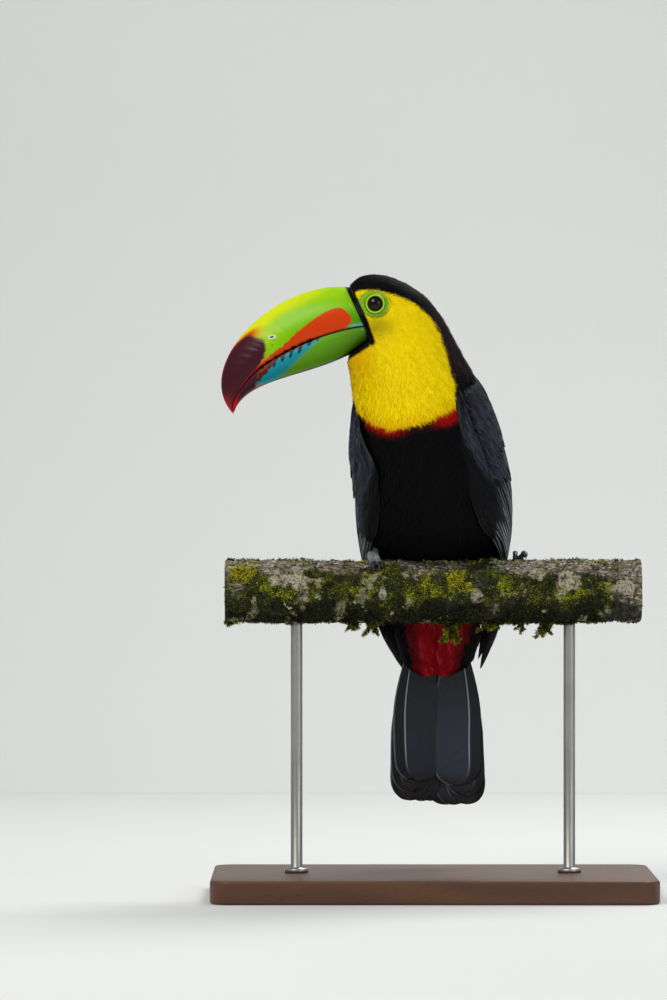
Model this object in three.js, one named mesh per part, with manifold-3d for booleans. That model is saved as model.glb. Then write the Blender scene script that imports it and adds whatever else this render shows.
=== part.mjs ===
/**
 * Keel-billed toucan, life size, gripping a cut length of branch on a plain display stand.
 *
 * Millimetres, +Z up. The breast faces -Y, the bill points to -X and the tail hangs behind the
 * branch. The origin is the middle of the stand's underside.
 */
import * as THREE from 'three';
import { ParametricGeometry } from 'three/addons/geometries/ParametricGeometry.js';
import { mergeVertices } from 'three/addons/utils/BufferGeometryUtils.js';
import Module from 'manifold-3d';

const wasm = await Module();
wasm.setup();

// ---------------------------------------------------------------------------------------------
// Driving dimensions
// ---------------------------------------------------------------------------------------------

const GAP = 0.3;             // left between touching pieces
const SHELL_GAP = 0.8;       // left round the wings and the tail, whose cutters are coarser

const PERCH = { length: 320, radius: 23.5, height: 235, lump: 1.1 };
const BASE = { width: 340, depth: 200, thickness: 18, corner: 16, bevel: 1.5 };
const ROD = { radius: 4.5, spread: 105 };

// The trunk's axis leans back from the vertical, rolls a little to -X and turns its front to -X.
const TRUNK = { lean: 19, roll: 4.1, turn: 7, axisX: 2.4, axisY: 22.5, axisZ: 266 };

const HEAD = { middleY: -22 };
const EYE = { x: -44.8, z: 454.5, radius: 7.5, spread: 15.6 };
const BILL = { baseHalfWidth: 17.3, tipHalfWidth: 1.2, parting: 0.5, faceCut: 9 };
const TAIL = { middleX: 4.8, rootY: 42, rootZ: 226, lean: 10.4, droop: 4, skew: 1.5 };
const RECTRIX = { level: 0.9, vane: 0.6 };   // from feather to feather, and one feather's thickness
const TOE = { radius: 3.0, claw: 1.9, gripRadius: 27 };

const COLOUR = {
  black: 0x08080a,
  yellow: 0xe8cc08,
  wing: 0x2a2d35,
  tail: 0x32363c,
  billGreen: 0x7fb414,
  billTeal: 0x2f8f86,
  eye: 0x120c08,
  foot: 0x6f8494,
  claw: 0x1c1d20,
  bark: 0x77705f,
  stand: 0x4a2f1c,
  metal: 0x9a9a98,
};

// ---------------------------------------------------------------------------------------------
// Helpers
// ---------------------------------------------------------------------------------------------

const radians = THREE.MathUtils.degToRad;
const { lerp, smoothstep } = THREE.MathUtils;

/** A manifold solid from a three.js geometry, with its faces turned outwards. */
function toSolid(geometry) {
  geometry.deleteAttribute('normal');
  geometry.deleteAttribute('uv');
  const merged = mergeVertices(geometry, 1e-3);
  const corners = merged.index.array;
  const points = merged.attributes.position;
  const kept = [];
  const a = new THREE.Vector3();
  const b = new THREE.Vector3();
  const c = new THREE.Vector3();
  let volume = 0;
  for (let i = 0; i < corners.length; i += 3) {
    const [p, q, r] = [corners[i], corners[i + 1], corners[i + 2]];
    if (p !== q && q !== r && r !== p) {
      kept.push(p, q, r);
      a.fromBufferAttribute(points, p);
      b.fromBufferAttribute(points, q);
      c.fromBufferAttribute(points, r);
      volume += a.dot(b.cross(c));
    }
  }
  const triVerts = Uint32Array.from(volume < 0 ? kept.reverse() : kept);
  const vertProperties = Float32Array.from(points.array);
  return new wasm.Manifold(new wasm.Mesh({ numProp: 3, vertProperties, triVerts }));
}

/** A three.js geometry from a manifold solid. */
function toGeometry(solid) {
  const mesh = solid.getMesh();
  const geometry = new THREE.BufferGeometry();
  geometry.setAttribute('position', new THREE.Float32BufferAttribute(mesh.vertProperties, 3));
  geometry.setIndex(Array.from(mesh.triVerts));
  geometry.computeVertexNormals();
  return geometry;
}

/** The largest closed piece of a solid, without the slivers that a cut may leave. */
function mainPiece(solid) {
  const pieces = solid.decompose();
  return pieces.reduce((best, piece) => (piece.volume() > best.volume() ? piece : best));
}

/**
 * A closed solid lofted through rings. ring(k, t) gives point k of `around` points on the ring at
 * t, from 0 to 1 along the solid, and end(k, t) gives where that point goes to close an end.
 */
function loftTo(end, ring, around, along) {
  const stacks = along + 2;
  const surface = (u, v, target) => {
    const step = Math.round(v * stacks);
    const k = Math.round(u * around) % around;
    if (step <= 0) return target.copy(end(k, 0));
    if (step >= stacks) return target.copy(end(k, 1));
    return target.copy(ring(k, (step - 1) / along));
  };
  return toSolid(new ParametricGeometry(surface, around, stacks));
}

/** A loft whose ends are fans about the middles of its end rings. */
function loft(ring, around, along) {
  const middle = (_, t) => {
    const sum = new THREE.Vector3();
    for (let k = 0; k < around; k += 1) sum.add(ring(k, t));
    return sum.divideScalar(around);
  };
  return loftTo(middle, ring, around, along);
}

/**
 * A loft of two faces, such as a plate's. face(side, s, t) gives the point at s across and t
 * along on the face, whose side is 1 or -1. The ends close straight from face to face.
 */
function loftFaces(face, across, along) {
  const around = 2 * across + 2;
  const ring = (k, t) => {
    const side = k <= across ? 1 : -1;
    return face(side, (side > 0 ? k : around - 1 - k) / across, t);
  };
  const seam = (k, t) => ring(k, t).add(ring(around - 1 - k, t)).multiplyScalar(0.5);
  return loftTo(seam, ring, around, along);
}

/** A smooth curve through rows of three numbers, read with equal steps from row to row. */
function track(rows) {
  return new THREE.CatmullRomCurve3(rows.map((row) => new THREE.Vector3(...row)));
}

/** A tapered round limb along a curve: radius(t) gives its thickness, grow swells it. */
function limb(curve, radius, around, along, grow = 0) {
  const frames = curve.computeFrenetFrames(along);
  const ring = (k, t) => {
    const step = Math.round(t * along);
    const angle = (2 * Math.PI * k) / around;
    const reach = radius(t) + grow;
    const overrun = (t === 0 ? -grow : 0) + (t === 1 ? grow : 0);
    return curve.getPointAt(t)
      .addScaledVector(frames.normals[step], reach * Math.cos(angle))
      .addScaledVector(frames.binormals[step], reach * Math.sin(angle))
      .addScaledVector(frames.tangents[step], overrun);
  };
  return loft(ring, around, along);
}

/** Splits a solid by a plane, with a thin gap: [the side the normal points to, the other]. */
function part(solid, point, normal) {
  const unit = normal.clone().normalize();
  const offset = point.dot(unit);
  const back = unit.clone().negate();
  return [
    solid.trimByPlane(unit.toArray(), offset + GAP / 2),
    solid.trimByPlane(back.toArray(), -offset + GAP / 2),
  ];
}

// ---------------------------------------------------------------------------------------------
// Body: one loft that swings round the chin from the bill's base to the undertail
// ---------------------------------------------------------------------------------------------

// Each station is a slice through the body. inner is its end under the bill or at -X, outer its
// end on the crown, nape or at +X, both as [x, z]; front and back are its ends in y, before the
// turn; tilt lifts its back, in degrees; turn is how far it turns with the trunk, from 0 to 1.
const STATIONS = [
  { inner: [-66.0, 413.5], outer: [-62.5, 471.5], front: -39.0, back: -5.0, tilt: 0, turn: 0 },
  { inner: [-66.3, 411.5], outer: [-54.5, 477.2], front: -41.8, back: -2.2, tilt: 0, turn: 0 },
  { inner: [-65.2, 407.0], outer: [-40.5, 477.2], front: -43.6, back: -0.4, tilt: 0, turn: 0 },
  { inner: [-64.2, 402.0], outer: [-22.4, 469.2], front: -45.4, back: 1.6, tilt: 0, turn: 0 },
  { inner: [-63.3, 395.0], outer: [-4.0, 454.3], front: -48.0, back: 5.0, tilt: 2, turn: 0.1 },
  { inner: [-62.7, 386.5], outer: [10.0, 434.6], front: -53.0, back: 13.0, tilt: 6, turn: 0.3 },
  { inner: [-62.0, 377.0], outer: [21.5, 416.0], front: -60.0, back: 24.0, tilt: 12, turn: 0.6 },
  { inner: [-61.3, 366.0], outer: [32.5, 396.0], front: -64.6, back: 34.0, tilt: 17, turn: 1 },
  { inner: [-60.0, 352.0], outer: [44.5, 363.0], front: -65.6, back: 43.0, tilt: 19, turn: 1 },
  { inner: [-59.5, 330.0], outer: [50.5, 337.5], front: -60.0, back: 50.0, tilt: 19, turn: 1 },
  { inner: [-56.4, 304.0], outer: [52.4, 311.0], front: -50.0, back: 54.0, tilt: 19, turn: 1 },
  { inner: [-54.0, 283.0], outer: [53.0, 289.0], front: -36.0, back: 56.5, tilt: 17, turn: 1 },
  { inner: [-49.5, 268.0], outer: [51.0, 273.5], front: -12.0, back: 57.5, tilt: 16, turn: 1 },
  { inner: [-41.0, 254.0], outer: [44.5, 257.0], front: 17.0, back: 57.5, tilt: 11, turn: 1 },
  { inner: [-30.0, 235.0], outer: [36.5, 236.0], front: 29.0, back: 56.0, tilt: 0, turn: 1 },
  { inner: [-22.5, 212.0], outer: [29.5, 212.0], front: 34.0, back: 54.5, tilt: 0, turn: 1 },
  { inner: [-18.5, 192.0], outer: [24.0, 192.0], front: 39.0, back: 56.0, tilt: 0, turn: 1 },
  { inner: [-11.0, 177.0], outer: [15.0, 177.0], front: 43.5, back: 57.5, tilt: 0, turn: 1 },
  { inner: [-3.5, 169.5], outer: [7.0, 169.5], front: 46.5, back: 56.5, tilt: 0, turn: 1 },
];

const innerTrack = track(STATIONS.map((s) => [s.inner[0], 0, s.inner[1]]));
const outerTrack = track(STATIONS.map((s) => [s.outer[0], 0, s.outer[1]]));
const depthTrack = track(STATIONS.map((s) => [s.front, s.back, s.tilt]));
const turnTrack = track(STATIONS.map((s) => [s.turn, 0, 0]));

// How far the trunk's widest line lies before the middle of its depth, as a part of half of it.
const BREAST_FORE = 0.16;

// Above 1 the slices are slimmer between their four ends than ellipses.
const BODY_SLIM = 1.07;

/** Point k of `around` on the body's slice at t, at even angles about a slimmed ellipse. */
function bodyPoint(k, t, around) {
  const inner = innerTrack.getPoint(t);
  const outer = outerTrack.getPoint(t);
  const [front, back, tilt] = depthTrack.getPoint(t).toArray();
  const turn = radians(TRUNK.turn) * turnTrack.getPoint(t).x;
  const angle = (2 * Math.PI * k) / around;
  const across = Math.sign(Math.cos(angle)) * Math.abs(Math.cos(angle)) ** BODY_SLIM;
  const through = Math.sign(Math.sin(angle)) * Math.abs(Math.sin(angle)) ** BODY_SLIM;
  const side = outer.clone().sub(inner).multiplyScalar(0.5);
  const fore = BREAST_FORE * turnTrack.getPoint(t).x;
  const depth = (0.5 * (back - front)) * (1 + fore * Math.sign(through));
  const point = inner.add(outer).multiplyScalar(0.5);
  point.y = lerp(front, back, 0.5 * (1 - fore));
  point.x += side.x * Math.cos(turn) * across + depth * Math.sin(turn) * through;
  point.y += -side.x * Math.sin(turn) * across + depth * Math.cos(turn) * through;
  point.z += side.z * across + depth * Math.tan(radians(tilt)) * through;
  return point;
}

// ---------------------------------------------------------------------------------------------
// Bill
// ---------------------------------------------------------------------------------------------

const bezier = (...ends) => new THREE.CubicBezierCurve3(
  ...ends.map(([x, z]) => new THREE.Vector3(x, HEAD.middleY, z)),
);
const culmen = bezier([-64.3, 467.8], [-123.4, 474.2], [-187.7, 405.2], [-152.7, 370.1]);
const tomium = bezier([-52.4, 437.3], [-70.0, 437.4], [-148.4, 414.4], [-154.5, 373.2]);
const gonys = bezier([-48.8, 426.3], [-84.2, 397.7], [-142.9, 402.4], [-153.0, 371.5]);

// How each mandible swells from its ridge; smaller is fuller.
const FULLNESS = { upper: 0.75, lower: 0.6 };

/** Half the bill's width at t: nearly even from the face, then drawn in to the tip. */
function billHalfWidth(t) {
  const { baseHalfWidth, tipHalfWidth } = BILL;
  return tipHalfWidth + (baseHalfWidth - tipHalfWidth) * (1 - t ** 2.2) ** 0.8;
}

/**
 * One mandible, from its ridge (culmen or gonys) to the cutting edge. `fullness` sets how fast
 * the side swells from the ridge. The cutter of the face grows all round and is wider than it.
 */
function mandible(ridge, fullness, grow = 0, widen = 0) {
  const face = (side, s, t) => {
    const edge = tomium.getPoint(t);
    const top = ridge.getPoint(t);
    const up = top.clone().sub(edge);
    edge.addScaledVector(up.clone().normalize(), BILL.parting - grow);
    top.addScaledVector(up.normalize(), grow);
    const swell = Math.sin(0.5 * Math.PI * Math.min(1, 0.04 + s * 1.25)) ** fullness;
    const tuck = 1 - 0.06 * smoothstep(s, 0.75, 1);
    const half = (billHalfWidth(t) + widen) * swell * tuck + grow;
    const point = top.lerp(edge, s);
    point.y += side * half;
    point.x += t === 0 ? grow : 0;
    return point;
  };
  return loftFaces(face, 5, 16);
}

// ---------------------------------------------------------------------------------------------
// Wings: curved plates wrapped on the trunk's sides, in slices square to the trunk's axis
// ---------------------------------------------------------------------------------------------

// Each row is one slice of a folded wing: the height of the axis there, half the width across
// both wings, the depths before and behind the axis, the angles from the breast at which the
// wing begins and ends, and its thickness.
const WING_ROWS = [
  { z: 402, half: 40.0, front: 42, back: 38, from: 60, to: 112, thick: 2.0 },
  { z: 396, half: 45.5, front: 50, back: 45, from: 50, to: 122, thick: 5.0 },
  { z: 380, half: 53.0, front: 60, back: 55, from: 42, to: 132, thick: 7.0 },
  { z: 352, half: 58.8, front: 66, back: 60, from: 38, to: 143, thick: 7.0 },
  { z: 320, half: 61.0, front: 66, back: 58, from: 41, to: 153, thick: 6.0 },
  { z: 290, half: 60.2, front: 60, back: 52, from: 51, to: 162, thick: 5.0 },
  { z: 265, half: 57.2, front: 46, back: 43, from: 73, to: 166, thick: 4.0 },
  { z: 250, half: 54.8, front: 38, back: 37, from: 87, to: 164, thick: 3.5 },
  { z: 225, half: 51.2, front: 30, back: 29, from: 89, to: 153, thick: 3.0 },
  { z: 205, half: 47.2, front: 24, back: 22, from: 90, to: 140, thick: 2.5 },
  { z: 188, half: 41.6, front: 18, back: 16, from: 92, to: 126, thick: 2.0 },
  { z: 168, half: 34.2, front: 12, back: 12, from: 97, to: 112, thick: 1.2 },
];

// How far the neck, turned to -X, pushes that side's shoulder out, and back in degrees.
const SHOULDER_LIFT = 4;
const SHOULDER_BACK = 16;

const wingWidthTrack = track(WING_ROWS.map((row) => [row.z, row.half, row.thick]));
const wingDepthTrack = track(WING_ROWS.map((row) => [row.front, row.back, 0]));
const wingAngleTrack = track(WING_ROWS.map((row) => [row.from, row.to, 0]));

/** A point of the trunk's slice frame: across to the side, back from the axis, at height z. */
function trunkFramePoint(across, behind, z) {
  const turn = radians(TRUNK.turn);
  const drop = TRUNK.axisZ - z;
  const x = TRUNK.axisX + drop * Math.tan(radians(TRUNK.roll));
  const y = TRUNK.axisY + drop * Math.tan(radians(TRUNK.lean));
  return new THREE.Vector3(
    x + across * Math.cos(turn) + behind * Math.sin(turn),
    y - across * Math.sin(turn) + behind * Math.cos(turn),
    z + across * Math.tan(radians(TRUNK.roll)) + behind * Math.tan(radians(TRUNK.lean)),
  );
}

/** One folded wing; side is 1 for +X and -1 for -X. */
function foldedWing(side, grow = 0) {
  const face = (way, s, t) => {
    const [z, width, thick] = wingWidthTrack.getPoint(t).toArray();
    const half = width + (side < 0 ? SHOULDER_LIFT * smoothstep(z, 365, 398) : 0);
    const [front, back] = wingDepthTrack.getPoint(t).toArray();
    const [start, to] = wingAngleTrack.getPoint(t).toArray();
    const from = start + (side < 0 ? SHOULDER_BACK * smoothstep(z, 358, 392) : 0);
    const spill = THREE.MathUtils.radToDeg(grow / half);
    const angle = radians(lerp(from - spill, to + spill, s));
    const edge = Math.min(thick, 1.1);
    const depth = edge + (thick - edge) * Math.sin(Math.PI * s) ** 0.6 + 2 * grow;
    const inset = way > 0 ? -grow : depth - grow;
    const behind = -Math.cos(angle) * ((Math.cos(angle) > 0 ? front : back) - inset);
    const lift = (t === 0 ? grow : 0) - (t === 1 ? grow : 0);
    const cosine = Math.cos(radians(TRUNK.lean));
    return trunkFramePoint(side * (half - inset) * Math.sin(angle), behind * cosine, z + lift);
  };
  return loftFaces(face, 6, 13);
}

// ---------------------------------------------------------------------------------------------
// Tail: ten feathers stacked on one gently arched sheet
// ---------------------------------------------------------------------------------------------

const TAIL_PAIRS = [
  { name: 'central', root: 1.5, bow: 4, tip: 5, tipZ: 67.5, levels: [6, 7] },
  { name: 'second', root: 3.2, bow: 12, tip: 12, tipZ: 67.5, levels: [4, 5] },
  { name: 'third', root: 4.8, bow: 20, tip: 18.8, tipZ: 67, levels: [2, 3] },
  { name: 'fourth', root: 6.4, bow: 26, tip: 20.8, tipZ: 72, levels: [1, 1] },
  { name: 'outer', root: 8.0, bow: 30, tip: 22.4, tipZ: 80, levels: [0, 0] },
];

/** The tail's sheet: y at a distance x from the tail's middle and at height z. */
function tailSheetY(x, z) {
  const fall = TAIL.rootZ - z;
  return TAIL.rootY + fall * Math.tan(radians(TAIL.lean)) - TAIL.droop * (x / 36) ** 2;
}

/** Half a tail feather's width at t along it, with a rounded tip. */
function vaneHalfWidth(t) {
  const swell = 3.5 + 11.3 * smoothstep(t, 0.08, 0.75);
  const rounding = (1 - Math.max(0, (t - 0.87) / 0.13) ** 2.6) ** 0.42;
  return swell * rounding;
}

/** One tail feather; side is 1 for +X and -1 for -X. */
function tailFeather(pair, side, level) {
  const face = (way, s, t) => {
    const down = 1 - (1 - t) ** 1.7;
    const bow = 2 * down * (1 - down) * pair.bow;
    const shaft = (1 - down) ** 2 * pair.root + bow + down ** 2 * pair.tip;
    const x = side * shaft + (2 * s - 1) * Math.max(0.6, vaneHalfWidth(down));
    const z = lerp(TAIL.rootZ, pair.tipZ - side * TAIL.skew, down);
    const y = tailSheetY(x, z) + level * RECTRIX.level + (way > 0 ? 0 : RECTRIX.vane);
    return new THREE.Vector3(TAIL.middleX + x, y, z);
  };
  return loftFaces(face, 2, 9);
}

/** The slot that the tail's roots fill in the body. */
function tailSlot() {
  const top = TAIL.rootZ + GAP;
  const face = (way, s, t) => {
    const z = lerp(top, 150, t);
    const half = 12.5 + 26 * smoothstep(top - z, 0, 60);
    const x = (2 * s - 1) * half;
    const rise = way > 0 ? -SHELL_GAP : 7 * RECTRIX.level + RECTRIX.vane + SHELL_GAP;
    const y = tailSheetY(x, z) + rise;
    return new THREE.Vector3(TAIL.middleX + x, y, z);
  };
  return loftFaces(face, 3, 4);
}

// ---------------------------------------------------------------------------------------------
// Legs and feet
// ---------------------------------------------------------------------------------------------

// Each leg: the thigh from the hip to the heel's feathering, the bare shank from there to the
// foot's joint, the joint's angle round the branch, the toes' ends along it, and how high each
// pair of toes arches over its knuckles. The +X foot holds the branch from behind.
const LEGS = {
  left: {
    hip: [26, 27, 286], cuff: [43, 23.5, 257.5], joint: [64.5, 19, 255], grip: 42,
    frontEnds: [63.2, 71.4], backEnds: [63.0, 69.5],
    frontRise: [0.8, 2.8, 4.0, 1.4], backRise: [0.6, 0.8, 0.5, 0.2],
  },
  right: {
    hip: [-26, 20, 290], cuff: [-41, 4, 269], joint: [-45.5, 3, 265], grip: 8,
    frontEnds: [-48.6, -42.2], backEnds: [-46.0, -38.5],
    frontRise: [0.8, 1.7, 0.5, 0.2], backRise: [0.8, 1.7, 0.5, 0.2],
  },
};

const vector = (triple) => new THREE.Vector3(...triple);

function thigh(leg, grow = 0) {
  const hip = vector(leg.hip);
  const cuff = vector(leg.cuff);
  const middle = hip.clone().lerp(cuff, 0.5).add(new THREE.Vector3(0, 0, 1.5));
  const curve = new THREE.CatmullRomCurve3([hip, middle, cuff]);
  const taper = (t) => Math.cos(0.5 * Math.PI * t) ** 0.8 * (0.35 + 0.65 * Math.min(1, 5 * t));
  return limb(curve, (t) => 4.5 + 8.0 * taper(t), 10, 5, grow);
}

function shank(leg, grow = 0) {
  const cuff = vector(leg.cuff);
  const joint = vector(leg.joint);
  const start = cuff.clone().lerp(vector(leg.hip), 0.15);
  const middle = cuff.clone().lerp(joint, 0.6);
  const curve = new THREE.CatmullRomCurve3([start, middle, joint]);
  return limb(curve, (t) => 2.8 + 0.3 * t, 7, 4, grow);
}

/** A point over the branch: x along it, angle from the top towards the back, and height. */
function gripPoint(x, degrees, rise) {
  const reach = TOE.gripRadius + rise;
  return new THREE.Vector3(
    x,
    reach * Math.sin(radians(degrees)),
    PERCH.height + reach * Math.cos(radians(degrees)),
  );
}

/** A toe's path from the foot's joint, arched over its first knuckle, then along the bark. */
function toeCurve(leg, endX, way) {
  const start = leg.joint[0];
  const at = (f) => lerp(start, endX, f);
  const rise = way < 0 ? leg.frontRise : leg.backRise;
  return new THREE.CatmullRomCurve3([
    gripPoint(at(0.25), leg.grip + way * 10, rise[0]),
    gripPoint(at(0.6), leg.grip + way * 21, rise[1]),
    gripPoint(at(0.85), leg.grip + way * 34, rise[2]),
    gripPoint(endX, leg.grip + way * 47, rise[3]),
  ]);
}

/** A toe's radius: it tapers, and swells a little at each joint. */
function toeRadius(t) {
  const knuckles = 0.9 + 0.14 * Math.abs(Math.sin(2.5 * Math.PI * t));
  return TOE.radius * (1 - 0.18 * t) * knuckles;
}

function toe(leg, endX, way, grow = 0) {
  return limb(toeCurve(leg, endX, way), toeRadius, 6, 6, grow);
}

/** The claw beyond a toe: hooked down onto the bark. */
function claw(leg, endX, way, grow = 0) {
  const rise = way < 0 ? leg.frontRise : leg.backRise;
  const curve = new THREE.CatmullRomCurve3([
    gripPoint(endX, leg.grip + way * 48, rise[3] + 0.4),
    gripPoint(endX, leg.grip + way * 55, rise[3] + 0.7),
    gripPoint(endX, leg.grip + way * 63, -0.9),
  ]);
  return limb(curve, (t) => lerp(TOE.claw, 0.35, t ** 0.8), 5, 4, grow);
}

/** Every toe of a foot, with its claw, and each of them swelled by the gap for cutting. */
function toesOf(leg) {
  const ways = { front: -1, back: 1 };
  return Object.entries(ways).flatMap(([label, way]) => {
    const ends = way < 0 ? leg.frontEnds : leg.backEnds;
    return ends.map((endX, index) => ({
      name: `${label}_${index === 0 ? 'first' : 'second'}`,
      toe: toe(leg, endX, way),
      claw: claw(leg, endX, way),
      toeCutter: toe(leg, endX, way, GAP),
      clawCutter: claw(leg, endX, way, GAP),
    }));
  });
}

// ---------------------------------------------------------------------------------------------
// Perch and stand
// ---------------------------------------------------------------------------------------------

/** The cut branch: a round log with slow swellings, along X. */
function perch(grow = 0) {
  const around = 20;
  const along = 10;
  const ring = (k, t) => {
    const x = (t - 0.5) * PERCH.length;
    const angle = (2 * Math.PI * k) / around;
    const slow = Math.sin(x * 0.047 + 1) * Math.sin(angle * 2 + x * 0.021);
    const swelling = slow + 0.5 * Math.sin(x * 0.11 + 3 * angle);
    const calm = Math.min(1, Math.abs(Math.cos(angle)) + 0.3);
    const reach = PERCH.radius + grow + PERCH.lump * swelling * (Math.sin(angle) > 0.6 ? 0.25 : calm);
    return new THREE.Vector3(x, -reach * Math.cos(angle), PERCH.height + reach * Math.sin(angle));
  };
  return loft(ring, around, along);
}

function standBase() {
  const { width, depth, thickness, corner, bevel } = BASE;
  const x = width / 2 - bevel;
  const y = depth / 2 - bevel;
  const shape = new THREE.Shape();
  shape.moveTo(-x + corner, -y);
  shape.lineTo(x - corner, -y);
  shape.absarc(x - corner, -y + corner, corner, -Math.PI / 2, 0, false);
  shape.absarc(x - corner, y - corner, corner, 0, Math.PI / 2, false);
  shape.absarc(-x + corner, y - corner, corner, Math.PI / 2, Math.PI, false);
  shape.absarc(-x + corner, -y + corner, corner, Math.PI, 1.5 * Math.PI, false);
  const geometry = new THREE.ExtrudeGeometry(shape, {
    depth: thickness - 2 * bevel,
    bevelEnabled: true,
    bevelThickness: bevel,
    bevelSize: bevel,
    bevelSegments: 1,
    curveSegments: 4,
  });
  geometry.translate(0, 0, bevel);
  return toSolid(geometry);
}

function standRod(side) {
  const bottom = BASE.thickness + GAP;
  const top = PERCH.height;
  const geometry = new THREE.CylinderGeometry(ROD.radius, ROD.radius, top - bottom, 16);
  geometry.rotateX(Math.PI / 2);
  geometry.translate(side * ROD.spread, 0, (top + bottom) / 2);
  return toSolid(geometry);
}

// ---------------------------------------------------------------------------------------------
// Assembly
// ---------------------------------------------------------------------------------------------

const toucan = new THREE.Group();

function add(name, solid, colour, roughness = 0.7, metalness = 0) {
  const material = new THREE.MeshStandardMaterial({ color: colour, roughness, metalness });
  const mesh = new THREE.Mesh(toGeometry(mainPiece(solid)), material);
  mesh.name = name;
  toucan.add(mesh);
}

function eyeball(way, grow = 0) {
  const geometry = new THREE.SphereGeometry(EYE.radius + grow, 14, 8);
  geometry.translate(EYE.x, HEAD.middleY + way * EYE.spread, EYE.z);
  return toSolid(geometry);
}

// The bird faces -Y, so its own left is +X.
const sides = { left: 1, right: -1 };

// The body, cut clear of all that it carries, then parted into head, neck and trunk.
const BODY_AROUND = 24;
const BODY_ALONG = 24;
const feet = Object.entries(LEGS).map(([name, leg]) => ({ name, leg, toes: toesOf(leg) }));
let body = loft((k, t) => bodyPoint(k, t, BODY_AROUND), BODY_AROUND, BODY_ALONG);
let branch = perch();
body = body.subtract(mandible(culmen, FULLNESS.upper, SHELL_GAP, BILL.faceCut));
body = body.subtract(mandible(gonys, FULLNESS.lower, SHELL_GAP, BILL.faceCut));
body = body.subtract(tailSlot());
body = body.subtract(perch(GAP));
for (const side of Object.values(sides)) {
  body = body.subtract(foldedWing(side, SHELL_GAP));
  body = body.subtract(eyeball(side, GAP));
}
for (const { leg, toes } of feet) {
  body = body.subtract(thigh(leg, GAP));
  body = body.subtract(shank(leg, GAP));
  for (const { toeCutter, clawCutter } of toes) {
    body = body.subtract(toeCutter);
    branch = branch.subtract(toeCutter).subtract(clawCutter);
  }
}
const headCut = { point: new THREE.Vector3(-34, -22, 427), up: new THREE.Vector3(-0.7, 0, 0.714) };
const neckCut = { point: new THREE.Vector3(-12, -15, 386), up: new THREE.Vector3(-0.28, -0.3, 0.91) };
const [headSolid, below] = part(body, headCut.point, headCut.up);
const [neckSolid, trunkSolid] = part(below, neckCut.point, neckCut.up);

add('head', headSolid, COLOUR.black);
add('neck', neckSolid, COLOUR.yellow);
add('trunk', trunkSolid, COLOUR.black);
add('bill_upper', mandible(culmen, FULLNESS.upper), COLOUR.billGreen, 0.3);
add('bill_lower', mandible(gonys, FULLNESS.lower), COLOUR.billTeal, 0.3);
add('eye_left', eyeball(-1), COLOUR.eye, 0.05);
add('eye_right', eyeball(1), COLOUR.eye, 0.05);

// The wing's coverts end across its slope; below them the primaries lie before the secondaries.
const COVERT_CUT = { point: trunkFramePoint(0, 0, 312), up: new THREE.Vector3(0, -0.45, 0.9) };
const PRIMARY_CUT = { point: trunkFramePoint(0, 14, 265), up: new THREE.Vector3(0, -0.93, -0.36) };

for (const { name, leg } of feet) {
  const side = sides[name];
  const wing = foldedWing(side).subtract(thigh(leg, GAP)).subtract(shank(leg, GAP));
  const [coverts, quills] = part(wing, COVERT_CUT.point, COVERT_CUT.up);
  const [primaries, secondaries] = part(quills, PRIMARY_CUT.point, PRIMARY_CUT.up);
  add(`wing_${name}_coverts`, coverts, COLOUR.wing);
  add(`wing_${name}_primaries`, primaries, COLOUR.wing);
  add(`wing_${name}_secondaries`, secondaries, COLOUR.wing);
  for (const pair of TAIL_PAIRS) {
    const level = pair.levels[side < 0 ? 0 : 1];
    add(`tail_${name}_${pair.name}`, tailFeather(pair, side, level), COLOUR.tail);
  }
}

for (const { name, leg, toes } of feet) {
  add(`thigh_${name}`, thigh(leg).subtract(shank(leg, GAP)), COLOUR.black);
  let bareShank = shank(leg);
  let claimed = null;
  for (const digit of toes) {
    bareShank = bareShank.subtract(digit.toeCutter);
    add(`toe_${name}_${digit.name}`, claimed ? digit.toe.subtract(claimed) : digit.toe, COLOUR.foot);
    add(`claw_${name}_${digit.name}`, digit.claw.subtract(digit.toeCutter), COLOUR.claw, 0.4);
    claimed = claimed ? claimed.add(digit.toeCutter) : digit.toeCutter;
  }
  add(`shank_${name}`, bareShank, COLOUR.foot);
}

add('perch', branch, COLOUR.bark, 0.9);
add('stand_base', standBase(), COLOUR.stand, 0.45);
for (const [name, side] of Object.entries(sides)) {
  add(`stand_rod_${name}`, standRod(side).subtract(perch(GAP)), COLOUR.metal, 0.3, 1);
}

export default toucan;
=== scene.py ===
"""The looks of a life-size keel-billed toucan on a cut branch: skin, feathers, bill, feet and stage.

Metres, +Z up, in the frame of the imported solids. The breast faces -Y and the bill points to -X.
"""
import functools
import math

import bpy
import numpy as np
from bpy.props import FloatProperty, FloatVectorProperty, IntProperty, PointerProperty
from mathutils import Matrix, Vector


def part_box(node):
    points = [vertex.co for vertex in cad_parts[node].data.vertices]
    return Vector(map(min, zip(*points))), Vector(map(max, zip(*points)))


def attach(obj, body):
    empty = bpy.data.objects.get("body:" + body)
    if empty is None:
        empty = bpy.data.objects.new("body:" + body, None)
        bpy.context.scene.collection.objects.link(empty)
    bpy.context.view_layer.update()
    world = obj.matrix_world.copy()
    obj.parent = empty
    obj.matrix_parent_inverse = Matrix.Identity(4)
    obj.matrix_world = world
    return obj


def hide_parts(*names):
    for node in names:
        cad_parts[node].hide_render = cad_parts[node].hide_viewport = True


bl_info = {
    "name": "Keel-billed toucan",
    "version": (1, 0, 0),
    "blender": (4, 5, 0),
    "location": "3D View > Sidebar > Toucan",
    "description": "A toucan's skin, feathers, bill, feet, perch, stand and stage",
    "category": "Add Mesh",
}

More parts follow.
